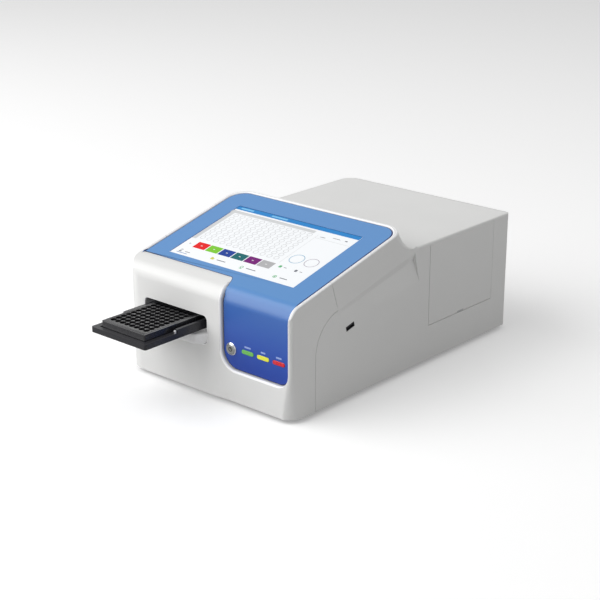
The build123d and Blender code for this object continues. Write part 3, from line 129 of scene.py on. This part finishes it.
def panelBlue():
    # blue sheet, coloured by height: light blue over the slope, deeper down the front and darker towards its
    # foot
    material = finish("bluePanel", panelTones["base"], 0.32, tint=0.015, grain=500, bumpHeight=0.000001,
                      coat=0.06, wear=0.03)
    tree = material.node_tree
    shader = tree.nodes["Principled BSDF"]
    place = tree.nodes.new("ShaderNodeTexCoord")
    parts = tree.nodes.new("ShaderNodeSeparateXYZ")
    tree.links.new(place.outputs["Object"], parts.inputs[0])
    rise = mapRange(tree, parts.outputs["Z"], *panelTones["rise"], 0, 1)
    shade = ramp(tree, rise, panelTones["stops"])
    tree.links.new(shade, shader.inputs["Base Color"])
    return material


finishes = {
    "whiteShell": finish("whiteShell", (0.80, 0.80, 0.79), 0.42, tint=0.012, grain=1600),
    "labelPale": finish("labelPale", (0.30, 0.40, 0.74), 0.4, tint=0.01),
    # painted highlight: a whiter, glowing copy of the shell's white for the rounded rims
    "rimPaintedHighlight": finish("rimPaintedHighlight", (0.90, 0.90, 0.91), 0.3, tint=0.006, grain=1600, glow=0.10),
    "rearPaint": finish("rearPaint", (0.74, 0.74, 0.735), 0.45, grain=1200),
    "basePaint": finish("basePaint", (0.33, 0.33, 0.34), 0.5),
    "bluePanel": panelBlue(),
    # painted shade: dark navy for the blue panel's rounded edge, where the gap beside the rim lies in shade
    "panelRimShade": finish("panelRimShade", (0.010, 0.022, 0.14), 0.25, tint=0.02, grain=500,
                        bumpHeight=0.000005),
    "screenGlass": finish("screenGlass", (0.88, 0.90, 0.92), 0.14, tint=0.006, grain=300, glow=0.12),
    "chrome": finish("chrome", (0.75, 0.76, 0.78), 0.12, 1.0, tint=0.02),
    # painted shade: a dimmer chrome for the power button, standing for the dark reflections in its dome
    "buttonShadedChrome": finish("buttonShadedChrome", (0.46, 0.47, 0.46), 0.2, 1.0, tint=0.02),
    "greenLamp": finish("greenLamp", (0.16, 0.52, 0.10), 0.25, coat=0.3),
    "yellowLamp": finish("yellowLamp", (0.85, 0.85, 0.06), 0.25, coat=0.3),
    "redLamp": finish("redLamp", (0.68, 0.012, 0.025), 0.25, coat=0.3),
    "blackPlastic": finish("blackPlastic", (0.014, 0.014, 0.017), 0.4),
    "plateBlack": finish("plateBlack", (0.018, 0.018, 0.021), 0.26, bumpHeight=0.000004, wear=0.03),
    # painted highlight: a lighter, coated grey for the plate's rounded side edges
    "platePaintedHighlight": finish("platePaintedHighlight", (0.20, 0.20, 0.202), 0.25, bumpHeight=0.000004, coat=0.4),
    # painted shade: near-black for the inside of the wells, the same plastic as the plate
    "wellPaintedShade": finish("wellPaintedShade", (0.003, 0.003, 0.004), 0.6, specular=0.1),
    # the standby symbol's print, dark and large so that it also paints the dark reflections at the button's
    # centre
    "standbyInkAndReflection": finish("standbyInkAndReflection", (0.05, 0.055, 0.05), 0.35),
    "carrierBlack": finish("carrierBlack", (0.016, 0.016, 0.020), 0.32),
    # silver paint with a glow that paints light on the support, which lies in shade under the carrier
    "glowingSilver": finish("glowingSilver", (0.80, 0.80, 0.80), 0.35, glow=0.10),
    "aluminium": finish("aluminium", (0.70, 0.71, 0.73), 0.32, 1.0, stretch=(1, 8, 1)),
    "steel": finish("steel", (0.62, 0.62, 0.64), 0.28, 1.0, stretch=(1, 1, 8)),
    "brass": finish("brass", (0.72, 0.55, 0.25), 0.25, 1.0),
    "rubber": finish("rubber", (0.02, 0.02, 0.02), 0.75, grain=700, bumpHeight=0.00006),
    "greyPlastic": finish("greyPlastic", (0.55, 0.56, 0.57), 0.5),
    "circuitBoard": finish("circuitBoard", (0.02, 0.16, 0.06), 0.35),
    "lampCeramic": finish("lampCeramic", (0.75, 0.72, 0.65), 0.4),
    "lensGlass": finish("lensGlass", (0.55, 0.68, 0.72), 0.08, coat=0.6),
}

nodeFinish = {
    "whiteShell": ["front_housing", "main_cover", "access_door"],
    "rearPaint": ["rear_panel"],
    "basePaint": ["base_pan"],
    "bluePanel": ["blue_panel"],
    "screenGlass": ["touch_glass", "lcd_module"],
    "chrome": ["power_ring"],
    "buttonShadedChrome": ["power_button"],
    "greenLamp": ["lamp_green"],
    "yellowLamp": ["lamp_yellow"],
    "redLamp": ["lamp_red"],
    "blackPlastic": [
        "plate_carrier", "side_usb_port", "mains_inlet", "switch_frame", "rocker_switch", "power_switch",
        "fan_frame", "fan_rotor", "wheel_motor", "drive_motor", "read_head", "fibre_bundle",
    ],
    "plateBlack": ["microplate"],
    "glowingSilver": ["tray_support"],
    "aluminium": [
        "tray_slide", "rod_brackets", "optics_bridge", "optics_deck", "lens_mount", "wheel_bracket",
        "filter_wheel", "drive_pulley", "idler_pulley", "lamp_house", "power_supply",
    ],
    "steel": [
        "guide_rods", "tray_pins", "door_hinge_pins", "motor_spindle", "idler_post", "screws", "ring_nut",
        "board_standoffs", "rear_ports",
    ],
    "brass": ["inlet_pins", "slide_bearings"],
    "rubber": ["rubber_feet", "drive_belt"],
    "greyPlastic": ["slot_liner", "belt_clamp", "door_pull"],
    "circuitBoard": ["main_board", "indicator_board", "photodiode_board"],
    "lampCeramic": ["halogen_lamp"],
    "lensGlass": ["condenser_lens", "optical_filters"],
}
for key, names in nodeFinish.items():
    for name in names:
        node = nodes[name]
        for place in range(len(node.data.materials)):
            node.data.materials[place] = finishes[key]
        if not node.data.materials:
            node.data.materials.append(finishes[key])
print("materials on", sum(len(v) for v in nodeFinish.values()), "nodes")


# shells as smoothed copies

smoothing = {
    "merge": 0.000002, "flat": math.radians(0.2), "sharp": math.radians(40), "smooth": math.radians(32),
    "segments": 4, "easeSegments": 2,
}


def deselectAll():
    for each in bpy.context.selected_objects:
        each.select_set(False)


def activate(piece):
    deselectAll()
    piece.select_set(True)
    bpy.context.view_layer.objects.active = piece


def nodeBox(nodeName):
    node = nodes[nodeName]
    corners = [node.matrix_world @ Vector(corner) for corner in node.bound_box]
    low = Vector([min(corner[axis] for corner in corners) for axis in range(3)])
    high = Vector([max(corner[axis] for corner in corners) for axis in range(3)])
    return low, high


shell = {
    "front": -0.19035, "foldRadius": 0.020, "slope": math.radians(13.8), "slopeStart": 0.1567,
    "jointFoot": (-0.09885, 0.135), "jointLean": 12.7 / 40, "jointReach": 0.0015,
    "rim": 0.0027, "slopeShare": 0.66, "slotEdge": 0.0012, "edge": 0.0003, "easeFrom": 55,
    "panelEdge": 0.0018,
    "reach": 0.0003, "sideReach": 0.0013, "sideStart": 0.125, "rimFoot": 0.045,
    "slopeFade": (0.139, 0.016), "cornerFade": (0.131, 0.1475, 0.0165),
    "slotAcross": (-0.116, 0.008), "slotUp": (0.07, 0.12),
    "controlsAcross": (0.034, 0.146), "controlsUp": (0.068, 0.092),
    "screenMargin": 0.003, "screenFoot": 0.155, "panelSlopeFoot": 0.150, "panelReach": (0.0022, 0.0062),
}


def within(value, limits):
    return limits[0] < value < limits[1]


def inSlot(point):
    return within(point.x, shell["slotAcross"]) and within(point.z, shell["slotUp"])


def onControls(point):
    return within(point.x, shell["controlsAcross"]) and within(point.z, shell["controlsUp"])


def outsideDistance(point):
    # how far a point lies from the front face, the fold or the slope, whichever it is beside
    up = Vector((0, -math.sin(shell["slope"]), math.cos(shell["slope"])))
    onSlopeSide = (point - Vector((0, shell["front"], shell["slopeStart"]))).dot(up)
    radius = shell["foldRadius"]
    axisY = shell["front"] + radius
    axisZ = shell["slopeStart"] + radius * math.tan(shell["slope"]) - radius / math.cos(shell["slope"])
    if point.z <= axisZ:
        return abs(point.y - shell["front"])
    if point.y - axisY >= -math.sin(shell["slope"]) * radius:
        return abs(onSlopeSide)
    return abs(math.hypot(point.y - axisY, point.z - axisZ) - radius)


def jointDistance(point):
    # how far a point lies from the leaning joint between the front and the cover
    footY, footZ = shell["jointFoot"]
    return abs(point.y - footY + (point.z - footZ) * shell["jointLean"])


def edgeMiddle(mesh, edge):
    return (mesh.vertices[edge.vertices[0]].co + mesh.vertices[edge.vertices[1]].co) / 2


def keepSelected(piece, keep):
    # of the selected edges, only those whose middle passes the test stay selected
    bpy.ops.object.mode_set(mode="OBJECT")
    mesh = piece.data
    for edge in mesh.edges:
        if edge.select:
            edge.select = keep(edgeMiddle(mesh, edge))
    chosen = {place for edge in mesh.edges if edge.select for place in edge.vertices}
    for vertex in mesh.vertices:
        vertex.select = vertex.index in chosen
    for face in mesh.polygons:
        face.select = False
    bpy.ops.object.mode_set(mode="EDIT")


def weighSelected(piece, weightAt):
    # the selected edges get a share of the rounding that depends on where they are
    bpy.ops.object.mode_set(mode="OBJECT")
    mesh = piece.data
    share = mesh.attributes.new("bevel_weight_edge", "FLOAT", "EDGE")
    for edge in mesh.edges:
        if edge.select:
            share.data[edge.index].value = weightAt(edgeMiddle(mesh, edge))


def selectSharp():
    bpy.ops.mesh.select_all(action="DESELECT")
    bpy.ops.mesh.edges_select_sharp(sharpness=smoothing["sharp"])


def easeEdges(piece, width, angle):
    # every edge sharper than the angle gets a small round
    eased = piece.modifiers.new("edge", "BEVEL")
    eased.width = width
    eased.segments = smoothing["easeSegments"]
    eased.limit_method = "ANGLE"
    eased.angle_limit = math.radians(angle)
    bpy.ops.object.modifier_apply(modifier=eased.name)


def smoothCopy(nodeName, body, material, rounds=(), edge=0.0, roundPaintedLight=None, rim=None):
    # a merged copy of a node, its chosen edges rounded, stands for the node; its rounds can take a second
    # material that paints light or shade on them
    source = nodes[nodeName]
    activate(source)
    bpy.ops.object.duplicate()
    piece = bpy.context.object
    piece.name = nodeName + "Skin"
    for tag in [key for key in piece.keys() if key.startswith("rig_")]:
        del piece[tag]
    piece.data = piece.data.copy()
    piece.data.materials.clear()
    piece.data.materials.append(finishes[material])
    if roundPaintedLight:
        piece.data.materials.append(finishes[roundPaintedLight])
    bpy.ops.object.mode_set(mode="EDIT")
    bpy.ops.mesh.select_all(action="SELECT")
    bpy.ops.mesh.remove_doubles(threshold=smoothing["merge"])
    bpy.ops.mesh.dissolve_limited(angle_limit=smoothing["flat"])
    bpy.ops.mesh.select_mode(type="EDGE")
    if rim:
        selectSharp()
        weighSelected(piece, rim)
        rounded = piece.modifiers.new("rim", "BEVEL")
        rounded.width = shell["rim"]
        rounded.segments = smoothing["segments"]
        rounded.limit_method = "WEIGHT"
        rounded.use_clamp_overlap = False
        rounded.material = 1
        bpy.ops.object.modifier_apply(modifier=rounded.name)
        bpy.ops.object.mode_set(mode="EDIT")
    for size, keep in rounds:
        selectSharp()
        keepSelected(piece, keep)
        bpy.ops.mesh.bevel(offset=size, segments=smoothing["segments"], profile=0.5, clamp_overlap=False,
                           material=1 if roundPaintedLight else -1)
    bpy.ops.object.mode_set(mode="OBJECT")
    if edge:
        easeEdges(piece, edge, shell["easeFrom"])
    bpy.ops.object.shade_smooth_by_angle(angle=smoothing["smooth"])
    weighted = piece.modifiers.new("flats", "WEIGHTED_NORMAL")
    weighted.keep_sharp = True
    bpy.ops.object.modifier_apply(modifier=weighted.name)
    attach(piece, body)
    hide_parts(nodeName)
    return piece


def rimShare(point):
    # full on the front, less on the slope, fading out towards the front's right-hand corner
    near = shell["sideReach"] if point.x > shell["sideStart"] else shell["reach"]
    if outsideDistance(point) > near or jointDistance(point) < shell["jointReach"]:
        return 0.0
    if point.z < shell["rimFoot"] or inSlot(point) or onControls(point):
        return 0.0
    slopeFoot, slopeRun = shell["slopeFade"]
    fadeStart, fadeEnd, fadeRun = shell["cornerFade"]
    onSlopeShare = min(1, max(0, (point.z - slopeFoot) / slopeRun))
    onFrontShare = 1.0 if point.x < fadeStart else max(0, (fadeEnd - point.x) / fadeRun)
    return onSlopeShare * shell["slopeShare"] + (1 - onSlopeShare) * onFrontShare


def onSlotEdge(point):
    return inSlot(point) and outsideDistance(point) < shell["reach"]


# the rounds along the rim and the slot take the whiter, glowing material: a painted highlight
smoothCopy("front_housing", "housing", "whiteShell", [(shell["slotEdge"], onSlotEdge)], shell["edge"],
           roundPaintedLight="rimPaintedHighlight", rim=rimShare)
smoothCopy("main_cover", "housing", "whiteShell", edge=shell["edge"], roundPaintedLight="rimPaintedHighlight",
           rim=rimShare)


def onPanelEdge(point):
    # the outline of the panel's face, not the screen window or the control holes
    low, high = nodeBox("touch_glass")
    margin = shell["screenMargin"]
    onScreen = (within(point.x, (low.x - margin, high.x + margin))
                and within(point.y, (low.y - margin, high.y + margin)) and point.z > shell["screenFoot"])
    slopeReach, frontReach = shell["panelReach"]
    depth = slopeReach if point.z > shell["panelSlopeFoot"] else frontReach
    return outsideDistance(point) < depth and not onControls(point) and not onScreen


panelFront = nodeBox("blue_panel")[0].y
# the panel's rounded edge takes the dark navy: painted shade
smoothCopy("blue_panel", "housing", "bluePanel", [(shell["panelEdge"], onPanelEdge)],
           roundPaintedLight="panelRimShade")
print("shells smoothed")


# 96-well plate: skirt, block and wells, and its carrier

plate = {
    "skirt": 0.0026, "step": 0.0017, "corner": 0.0032, "pitch": 0.009, "well": 0.00424, "wellDepth": 0.0109,
    "wellPoints": 28, "across": 8, "along": 12, "edge": 0.00012, "easeFrom": 50,
    "outline": 0.0007, "outlineBand": 0.0012, "near": 0.0001, "carrierEdge": 0.0007,
}


def selectFaces(piece, keep):
    # in edit mode: only the faces that pass the test are selected
    bpy.ops.object.mode_set(mode="OBJECT")
    for face in piece.data.polygons:
        face.select = keep(face)
    for item in list(piece.data.edges) + list(piece.data.vertices):
        item.select = False
    bpy.ops.object.mode_set(mode="EDIT")
    bpy.ops.mesh.select_mode(type="FACE")


plateLow, plateHigh = nodeBox("microplate")
plateMiddle = (plateLow + plateHigh) / 2


def onPlateOutline(point):
    fromSide = (plateHigh.x - plateLow.x) / 2 - abs(point.x - plateMiddle.x)
    fromEnd = (plateHigh.y - plateLow.y) / 2 - abs(point.y - plateMiddle.y)
    onTop = point.z > plateHigh.z - plate["near"]
    return onTop and min(fromSide, fromEnd) < plate["step"] + plate["outlineBand"]


def repeat(piece, count, step):
    # copies of the piece in a row, a step apart, as one mesh
    row = piece.modifiers.new("row", "ARRAY")
    row.count = count
    row.use_relative_offset = False
    row.use_constant_offset = True
    row.constant_offset_displace = step
    activate(piece)
    bpy.ops.object.modifier_apply(modifier=row.name)


skirtMiddle = plateLow.z + plate["skirt"] / 2
bpy.ops.mesh.primitive_cube_add(size=1, location=(plateMiddle.x, plateMiddle.y, skirtMiddle))
plateBody = bpy.context.object
plateBody.name = "plateBody"
plateBody.scale = (plateHigh.x - plateLow.x, plateHigh.y - plateLow.y, plate["skirt"])
activate(plateBody)
bpy.ops.object.transform_apply(location=True, rotation=True, scale=True)
bpy.ops.object.mode_set(mode="EDIT")
bpy.ops.mesh.select_mode(type="EDGE")
bpy.ops.mesh.select_all(action="SELECT")
keepSelected(plateBody, lambda middle: abs(middle.z - skirtMiddle) < plate["near"])
bpy.ops.mesh.bevel(offset=plate["corner"], segments=5)
selectFaces(plateBody, lambda face: face.normal.z > 0.9)
bpy.ops.mesh.inset(thickness=plate["step"])
bpy.ops.mesh.extrude_region_move(
    TRANSFORM_OT_translate={"value": (0, 0, plateHigh.z - plateLow.z - plate["skirt"])})
bpy.ops.object.mode_set(mode="OBJECT")

firstWell = (plateMiddle.x - plate["pitch"] * (plate["across"] - 1) / 2,
             plateMiddle.y - plate["pitch"] * (plate["along"] - 1) / 2, plateHigh.z)
bpy.ops.mesh.primitive_cylinder_add(vertices=plate["wellPoints"], radius=plate["well"],
                                    depth=2 * plate["wellDepth"], location=firstWell)
wells = bpy.context.object
repeat(wells, plate["across"], (plate["pitch"], 0, 0))
repeat(wells, plate["along"], (0, plate["pitch"], 0))
# the wells' walls take the near-black: painted shade inside the wells
wells.data.materials.append(finishes["wellPaintedShade"])
plateBody.data.materials.append(finishes["plateBlack"])
activate(plateBody)
drilled = plateBody.modifiers.new("wells", "BOOLEAN")
drilled.object = wells
drilled.operation = "DIFFERENCE"
drilled.solver = "EXACT"
drilled.material_mode = "TRANSFER"
bpy.ops.object.modifier_apply(modifier=drilled.name)
bpy.ops.object.mode_set(mode="EDIT")
bpy.ops.mesh.select_mode(type="EDGE")
bpy.ops.mesh.select_all(action="SELECT")
keepSelected(plateBody, onPlateOutline)
bpy.ops.mesh.bevel(offset=plate["outline"], segments=3)
# the rounded side edges of the plate's top take the lighter grey: a painted highlight
plateBody.data.materials.append(finishes["platePaintedHighlight"])
outlineFoot = plateHigh.z - plate["outline"]
selectFaces(plateBody, lambda face: abs(face.normal.x) > 0.2 and face.center.z > outlineFoot)
plateBody.active_material_index = 2
bpy.ops.object.material_slot_assign()
bpy.ops.object.mode_set(mode="OBJECT")
easeEdges(plateBody, plate["edge"], plate["easeFrom"])
bpy.ops.object.shade_smooth_by_angle(angle=smoothing["smooth"])
activate(wells)
bpy.ops.object.delete()
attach(plateBody, "tray")
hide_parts("microplate")
smoothCopy("plate_carrier", "tray", "carrierBlack", edge=plate["carrierEdge"])
print("plate modelled")


# screen picture: thin tiles on the glass

slope = shell["slope"]
slopeStart = Vector((0, shell["front"], shell["slopeStart"]))
slopeOut = Vector((0, -math.sin(slope), math.cos(slope)))
picture = {
    "glassTop": -1.0, "tile": 0.06, "width": 229.0, "high": 196.6, "titleLow": 187.0,
    "title": (0.020, 0.225, 0.58), "pale": (0.62, 0.63, 0.64),
    "ring": 4.1, "ringWall": 0.8, "gridStart": (-98, 102), "gridCount": (12, 8), "gridPitch": (12.6, 9.9),
    "keyLeft": -92.5, "keyPitch": 24.1, "keyWidth": 22.4, "keyLow": 74.5, "keyTall": 15.6,
    "keyMark": (3.2, 1.4), "titleMarkRise": 191.6, "titleMarkTall": 3.4, "titleMarks": ((24, -94), (30, -32)),
    "strips": [(158, 6.6, (-36, 180.2)), (7.5, 82, (-109.5, 136)), (0.5, 82, (52.6, 135)),
               (60, 0.5, (83, 168))],
    "surround": [(1.3, 144, (-113.9, 124)), (229, 1.0, (0, 196.1))],
    "dialLeft": (11.2, 0.9, (69.3, 111.2)), "dialRight": (10.6, 0.8, (95.0, 111.2)), "dialPoints": 48,
    "keys": [(0.76, 0.008, 0.008), (0.20, 0.56, 0.03), (0.006, 0.045, 0.30), (0.004, 0.125, 0.14),
             (0.17, 0.004, 0.17), (0.44, 0.44, 0.45)],
}


def lieOnSlope(piece):
    # a piece drawn flat in millimetres, across and up, is laid on the glass
    piece.matrix_world = (
        Matrix.Translation(slopeStart + slopeOut * (picture["glassTop"] / 1000))
        @ Matrix.Rotation(slope, 4, "X")
        @ Matrix.Scale(0.001, 4)
    )
    activate(piece)
    bpy.ops.object.transform_apply(location=True, rotation=True, scale=True)
    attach(piece, "housing")


def flatTile(width, tall, at, corner=0.0, thick=None, low=0.0):
    # one tile, in millimetres on the flat drawing
    bpy.ops.mesh.primitive_plane_add(size=1, location=(at[0], at[1], low))
    tile = bpy.context.object
    tile.scale = (width, tall, 1)
    activate(tile)
    bpy.ops.object.transform_apply(location=True, rotation=True, scale=True)
    bpy.ops.object.mode_set(mode="EDIT")
    bpy.ops.mesh.select_all(action="SELECT")
    if corner:
        bpy.ops.mesh.bevel(offset=corner, segments=4, affect="VERTICES")
    bpy.ops.mesh.extrude_region_move(TRANSFORM_OT_translate={"value": (0, 0, thick or picture["tile"])})
    bpy.ops.mesh.select_all(action="SELECT")
    bpy.ops.mesh.normals_make_consistent(inside=False)
    bpy.ops.object.mode_set(mode="OBJECT")
    return tile


def flatRing(radius, wall, at, points=28, thick=None):
    # one ring, drawn as the tiles are
    bpy.ops.mesh.primitive_circle_add(vertices=points, radius=radius, fill_type="NGON",
                                      location=(at[0], at[1], 0))
    ring = bpy.context.object
    activate(ring)
    bpy.ops.object.transform_apply(location=True, rotation=True, scale=True)
    bpy.ops.object.mode_set(mode="EDIT")
    bpy.ops.mesh.select_all(action="SELECT")
    bpy.ops.mesh.inset(thickness=wall, use_boundary=True)
    bpy.ops.mesh.delete(type="FACE")
    bpy.ops.mesh.select_all(action="SELECT")
    bpy.ops.mesh.extrude_region_move(TRANSFORM_OT_translate={"value": (0, 0, thick or picture["tile"])})
    bpy.ops.mesh.select_all(action="SELECT")
    bpy.ops.mesh.normals_make_consistent(inside=False)
    bpy.ops.object.mode_set(mode="OBJECT")
    return ring


def joined(name, pieces, material):
    deselectAll()
    for piece in pieces:
        piece.select_set(True)
    bpy.context.view_layer.objects.active = pieces[0]
    if len(pieces) > 1:
        bpy.ops.object.join()
    whole = bpy.context.object
    whole.name = name
    whole.data.materials.clear()
    whole.data.materials.append(material)
    return whole


def ink(name, colour, roughness=0.3):
    return finish(name, colour, roughness, tint=0.02, grain=400, bumpHeight=0.000004, wear=0.03,
                  specular=0.1, glow=0.08)


titleTall = picture["high"] - picture["titleLow"]
titleTile = flatTile(picture["width"], titleTall, (0, picture["titleLow"] + titleTall / 2))
lieOnSlope(joined("titleBar", [titleTile], ink("titleBlue", picture["title"])))

strips = [flatTile(*strip) for strip in picture["strips"]]
lieOnSlope(joined("gridHeader", strips, ink("paleGrey", picture["pale"])))
# dark navy strips along the screen's left and top edges: painted shadow of the bezel edge
surround = [flatTile(*strip) for strip in picture["surround"]]
lieOnSlope(joined("screenEdgeShadow", surround, ink("surroundNavy", (0.03, 0.075, 0.26))))
titleMarks = [
    flatTile(width, picture["titleMarkTall"], (across, picture["titleMarkRise"]), 1.0, low=picture["tile"])
    for width, across in picture["titleMarks"]
]
lieOnSlope(joined("titleMarks", titleMarks, ink("titlePale", (0.20, 0.52, 0.80))))

keyCentres = [
    (picture["keyLeft"] + place * picture["keyPitch"] + picture["keyWidth"] / 2,
     picture["keyLow"] + picture["keyTall"] / 2)
    for place in range(len(picture["keys"]))
]
for place, (centre, colour) in enumerate(zip(keyCentres, picture["keys"])):
    keyTile = flatTile(picture["keyWidth"], picture["keyTall"], centre, 0.6)
    lieOnSlope(joined(f"screenKey{place}", [keyTile], ink(f"keyColour{place}", colour)))
marks = [flatTile(*picture["keyMark"], centre, 0.3, low=picture["tile"]) for centre in keyCentres]
lieOnSlope(joined("keyMarks", marks, ink("markPale", (0.75, 0.75, 0.75))))

wellRing = flatRing(picture["ring"], picture["ringWall"], picture["gridStart"], points=20)
repeat(wellRing, picture["gridCount"][0], (picture["gridPitch"][0], 0, 0))
repeat(wellRing, picture["gridCount"][1], (0, picture["gridPitch"][1], 0))
lieOnSlope(joined("wellRings", [wellRing], ink("ringGrey", (0.56, 0.57, 0.58))))

lieOnSlope(joined("dialRingLeft", [flatRing(*picture["dialLeft"], picture["dialPoints"])],
                  ink("dialBlue", (0.16, 0.38, 0.55))))
lieOnSlope(joined("dialRingRight", [flatRing(*picture["dialRight"], picture["dialPoints"])],
                  ink("dialGrey", (0.33, 0.28, 0.36))))

greenMarks = [
    flatRing(2.6, 0.9, (13.2, 62.4)), flatTile(4.6, 1.2, (13.2, 58.8), 0.3),
    flatRing(3.0, 1.0, (72.2, 62.6)), flatTile(1.4, 3.2, (72.2, 62.6), 0.2),
    flatTile(4.4, 5.2, (61.5, 86.2), 0.8),
]
lieOnSlope(joined("greenIcons", greenMarks, ink("iconGreen", (0.12, 0.45, 0.20))))
yellowMarks = [flatTile(6.2, 4.2, (-41.8, 62.2), 0.9), flatTile(3.0, 1.4, (-43.4, 65.2), 0.3)]
lieOnSlope(joined("yellowIcons", yellowMarks, ink("iconYellow", (0.62, 0.62, 0.10))))
darkMarks = [
    flatTile(16, 1.5, (-25.5, 62.2), 0.5), flatTile(17, 1.5, (29.5, 62.2), 0.5),
    flatTile(13, 1.5, (87, 62.8), 0.5), flatTile(5, 1.0, (70.0, 86.2), 0.3),
    flatTile(5, 1.0, (97.5, 86.2), 0.3), flatTile(4.2, 5.0, (89.0, 86.2), 1.2),
    flatTile(9, 1.0, (63, 172.6), 0.3), flatTile(13, 1.0, (84, 177), 0.3),
    flatTile(4, 2.2, (101, 177), 0.3), flatRing(2.0, 0.7, (-101.0, 62.8)),
    flatTile(4.8, 2.2, (-101.0, 59.0), 0.9), flatTile(9, 1.2, (-88.0, 60.4), 0.4),
    flatRing(1.3, 0.5, (-102.7, 81.2), 16), flatTile(0.9, 0.9, (108.6, 195.0)),
]
lieOnSlope(joined("greyMarks", darkMarks, ink("markGrey", (0.16, 0.17, 0.20))))
lieOnSlope(joined("screenUnderline", [flatTile(20, 0.9, (-95.0, 56.0), 0.3)],
                  ink("underlineBlue", (0.02, 0.12, 0.40))))
print("screen picture laid")


# marks on the controls

controls = {
    "ring": 3.4, "ringWall": 1.4, "ringThick": 0.04, "bar": (1.5, 3.6), "barRise": 1.6, "thick": 0.05,
    "labels": {"lamp_green": 11.0, "lamp_yellow": 8.0, "lamp_red": 9.5}, "labelTall": 2.4,
    "labelRise": 7.4,
}


def standUpright(piece, at):
    # a piece drawn flat in millimetres stands on a front-facing surface at the given place
    upright = Matrix.Rotation(math.radians(90), 4, "X")
    piece.matrix_world = Matrix.Translation(at) @ upright @ Matrix.Scale(0.001, 4)
    activate(piece)
    bpy.ops.object.transform_apply(location=True, rotation=True, scale=True)


buttonLow, buttonHigh = nodeBox("power_button")
buttonMiddle = (buttonLow + buttonHigh) / 2
# the standby symbol, drawn dark enough to paint the button's centre reflections as well
standbyParts = [
    flatRing(controls["ring"], controls["ringWall"], (0, 0), 32, controls["ringThick"]),
    flatTile(*controls["bar"], (0, controls["barRise"]), 0.2, controls["thick"]),
]
standby = joined("standbyMark", standbyParts, finishes["standbyInkAndReflection"])
standUpright(standby, (buttonMiddle.x, buttonLow.y, buttonMiddle.z))
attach(standby, "button")
for lamp, labelWidth in controls["labels"].items():
    lampLow, lampHigh = nodeBox(lamp)
    lampMiddle = (lampLow + lampHigh) / 2
    labelTile = flatTile(labelWidth, controls["labelTall"], (0, 0), 0.6, controls["thick"])
    label = joined(lamp + "Label", [labelTile], finishes["labelPale"])
    standUpright(label, (lampMiddle.x, panelFront, lampMiddle.z + controls["labelRise"] / 1000))
    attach(label, "housing")
print("control marks placed")


# camera, light and floor

view = {"place": (1.3064, -1.47485, 0.7952), "turn": (70.2, 0, 41.49), "lens": 88.64, "sensor": 36, "far": 50}
bpy.ops.object.camera_add(location=view["place"], rotation=[math.radians(a) for a in view["turn"]])
camera = bpy.context.object
camera.data.lens = view["lens"]
camera.data.sensor_width = view["sensor"]
camera.data.clip_end = view["far"]
bpy.context.scene.camera = camera

light = {
    "key": 156, "keyPlace": (-1.9, -2.35, 2.15), "keySize": 4.4, "fill": 14, "fillPlace": (2.8, 1.3, 1.9),
    "fillSize": 2.2, "target": (0, 0, 0.1), "sky": 0.45, "skySeen": 1.0,
}


def areaLight(name, place, power, size):
    bpy.ops.object.light_add(type="AREA", location=place)
    lamp = bpy.context.object
    lamp.name = name
    lamp.data.energy = power
    lamp.data.size = size
    aim = Vector(light["target"]) - Vector(place)
    lamp.rotation_euler = aim.to_track_quat("-Z", "Y").to_euler()


areaLight("keyLight", light["keyPlace"], light["key"], light["keySize"])
areaLight("fillLight", light["fillPlace"], light["fill"], light["fillSize"])

world = bpy.data.worlds.new("softRoom")
bpy.context.scene.world = world
world.use_nodes = True
tree = world.node_tree
tree.nodes.clear()
output = tree.nodes.new("ShaderNodeOutputWorld")
room = tree.nodes.new("ShaderNodeBackground")
room.inputs["Strength"].default_value = light["sky"]
backdrop = tree.nodes.new("ShaderNodeBackground")
backdrop.inputs["Strength"].default_value = light["skySeen"]
# the room lights the object, while the camera, glass and reflections see the white backdrop
rays = tree.nodes.new("ShaderNodeLightPath")
seen = tree.nodes.new("ShaderNodeMath")
seen.operation = "MAXIMUM"
either = tree.nodes.new("ShaderNodeMath")
either.operation = "MAXIMUM"
mix = tree.nodes.new("ShaderNodeMixShader")
tree.links.new(rays.outputs["Is Camera Ray"], seen.inputs[0])
tree.links.new(rays.outputs["Is Transmission Ray"], seen.inputs[1])
tree.links.new(seen.outputs[0], either.inputs[0])
tree.links.new(rays.outputs["Is Glossy Ray"], either.inputs[1])
tree.links.new(either.outputs[0], mix.inputs["Fac"])
tree.links.new(room.outputs[0], mix.inputs[1])
tree.links.new(backdrop.outputs[0], mix.inputs[2])
tree.links.new(mix.outputs[0], output.inputs["Surface"])

floor = {
    "size": 14, "bounce": (0.56, 0.56, 0.56), "seen": (0.93, 0.93, 0.93), "lift": 0.22, "roughness": 0.9,
}
bpy.ops.mesh.primitive_plane_add(size=floor["size"], location=(0, 0, 0))
ground = bpy.context.object
ground.name = "ground"
paleGround, tree, shader = newMaterial("paleGround")
rays = tree.nodes.new("ShaderNodeLightPath")
tone = tree.nodes.new("ShaderNodeMix")
tone.data_type = "RGBA"
tone.inputs["A"].default_value = (*floor["bounce"], 1)
tone.inputs["B"].default_value = (*floor["seen"], 1)
tree.links.new(rays.outputs["Is Camera Ray"], tone.inputs["Factor"])
tree.links.new(tone.outputs["Result"], shader.inputs["Base Color"])
shader.inputs["Roughness"].default_value = floor["roughness"]
shader.inputs["Specular IOR Level"].default_value = 0
shader.inputs["Emission Color"].default_value = (1, 1, 1, 1)
lift = tree.nodes.new("ShaderNodeMath")
lift.operation = "MULTIPLY"
lift.inputs[1].default_value = floor["lift"]
tree.links.new(rays.outputs["Is Camera Ray"], lift.inputs[0])
tree.links.new(lift.outputs[0], shader.inputs["Emission Strength"])
ground.data.materials.append(paleGround)
print("camera, light and floor set")

bpy.context.scene.view_settings.view_transform = "Standard"
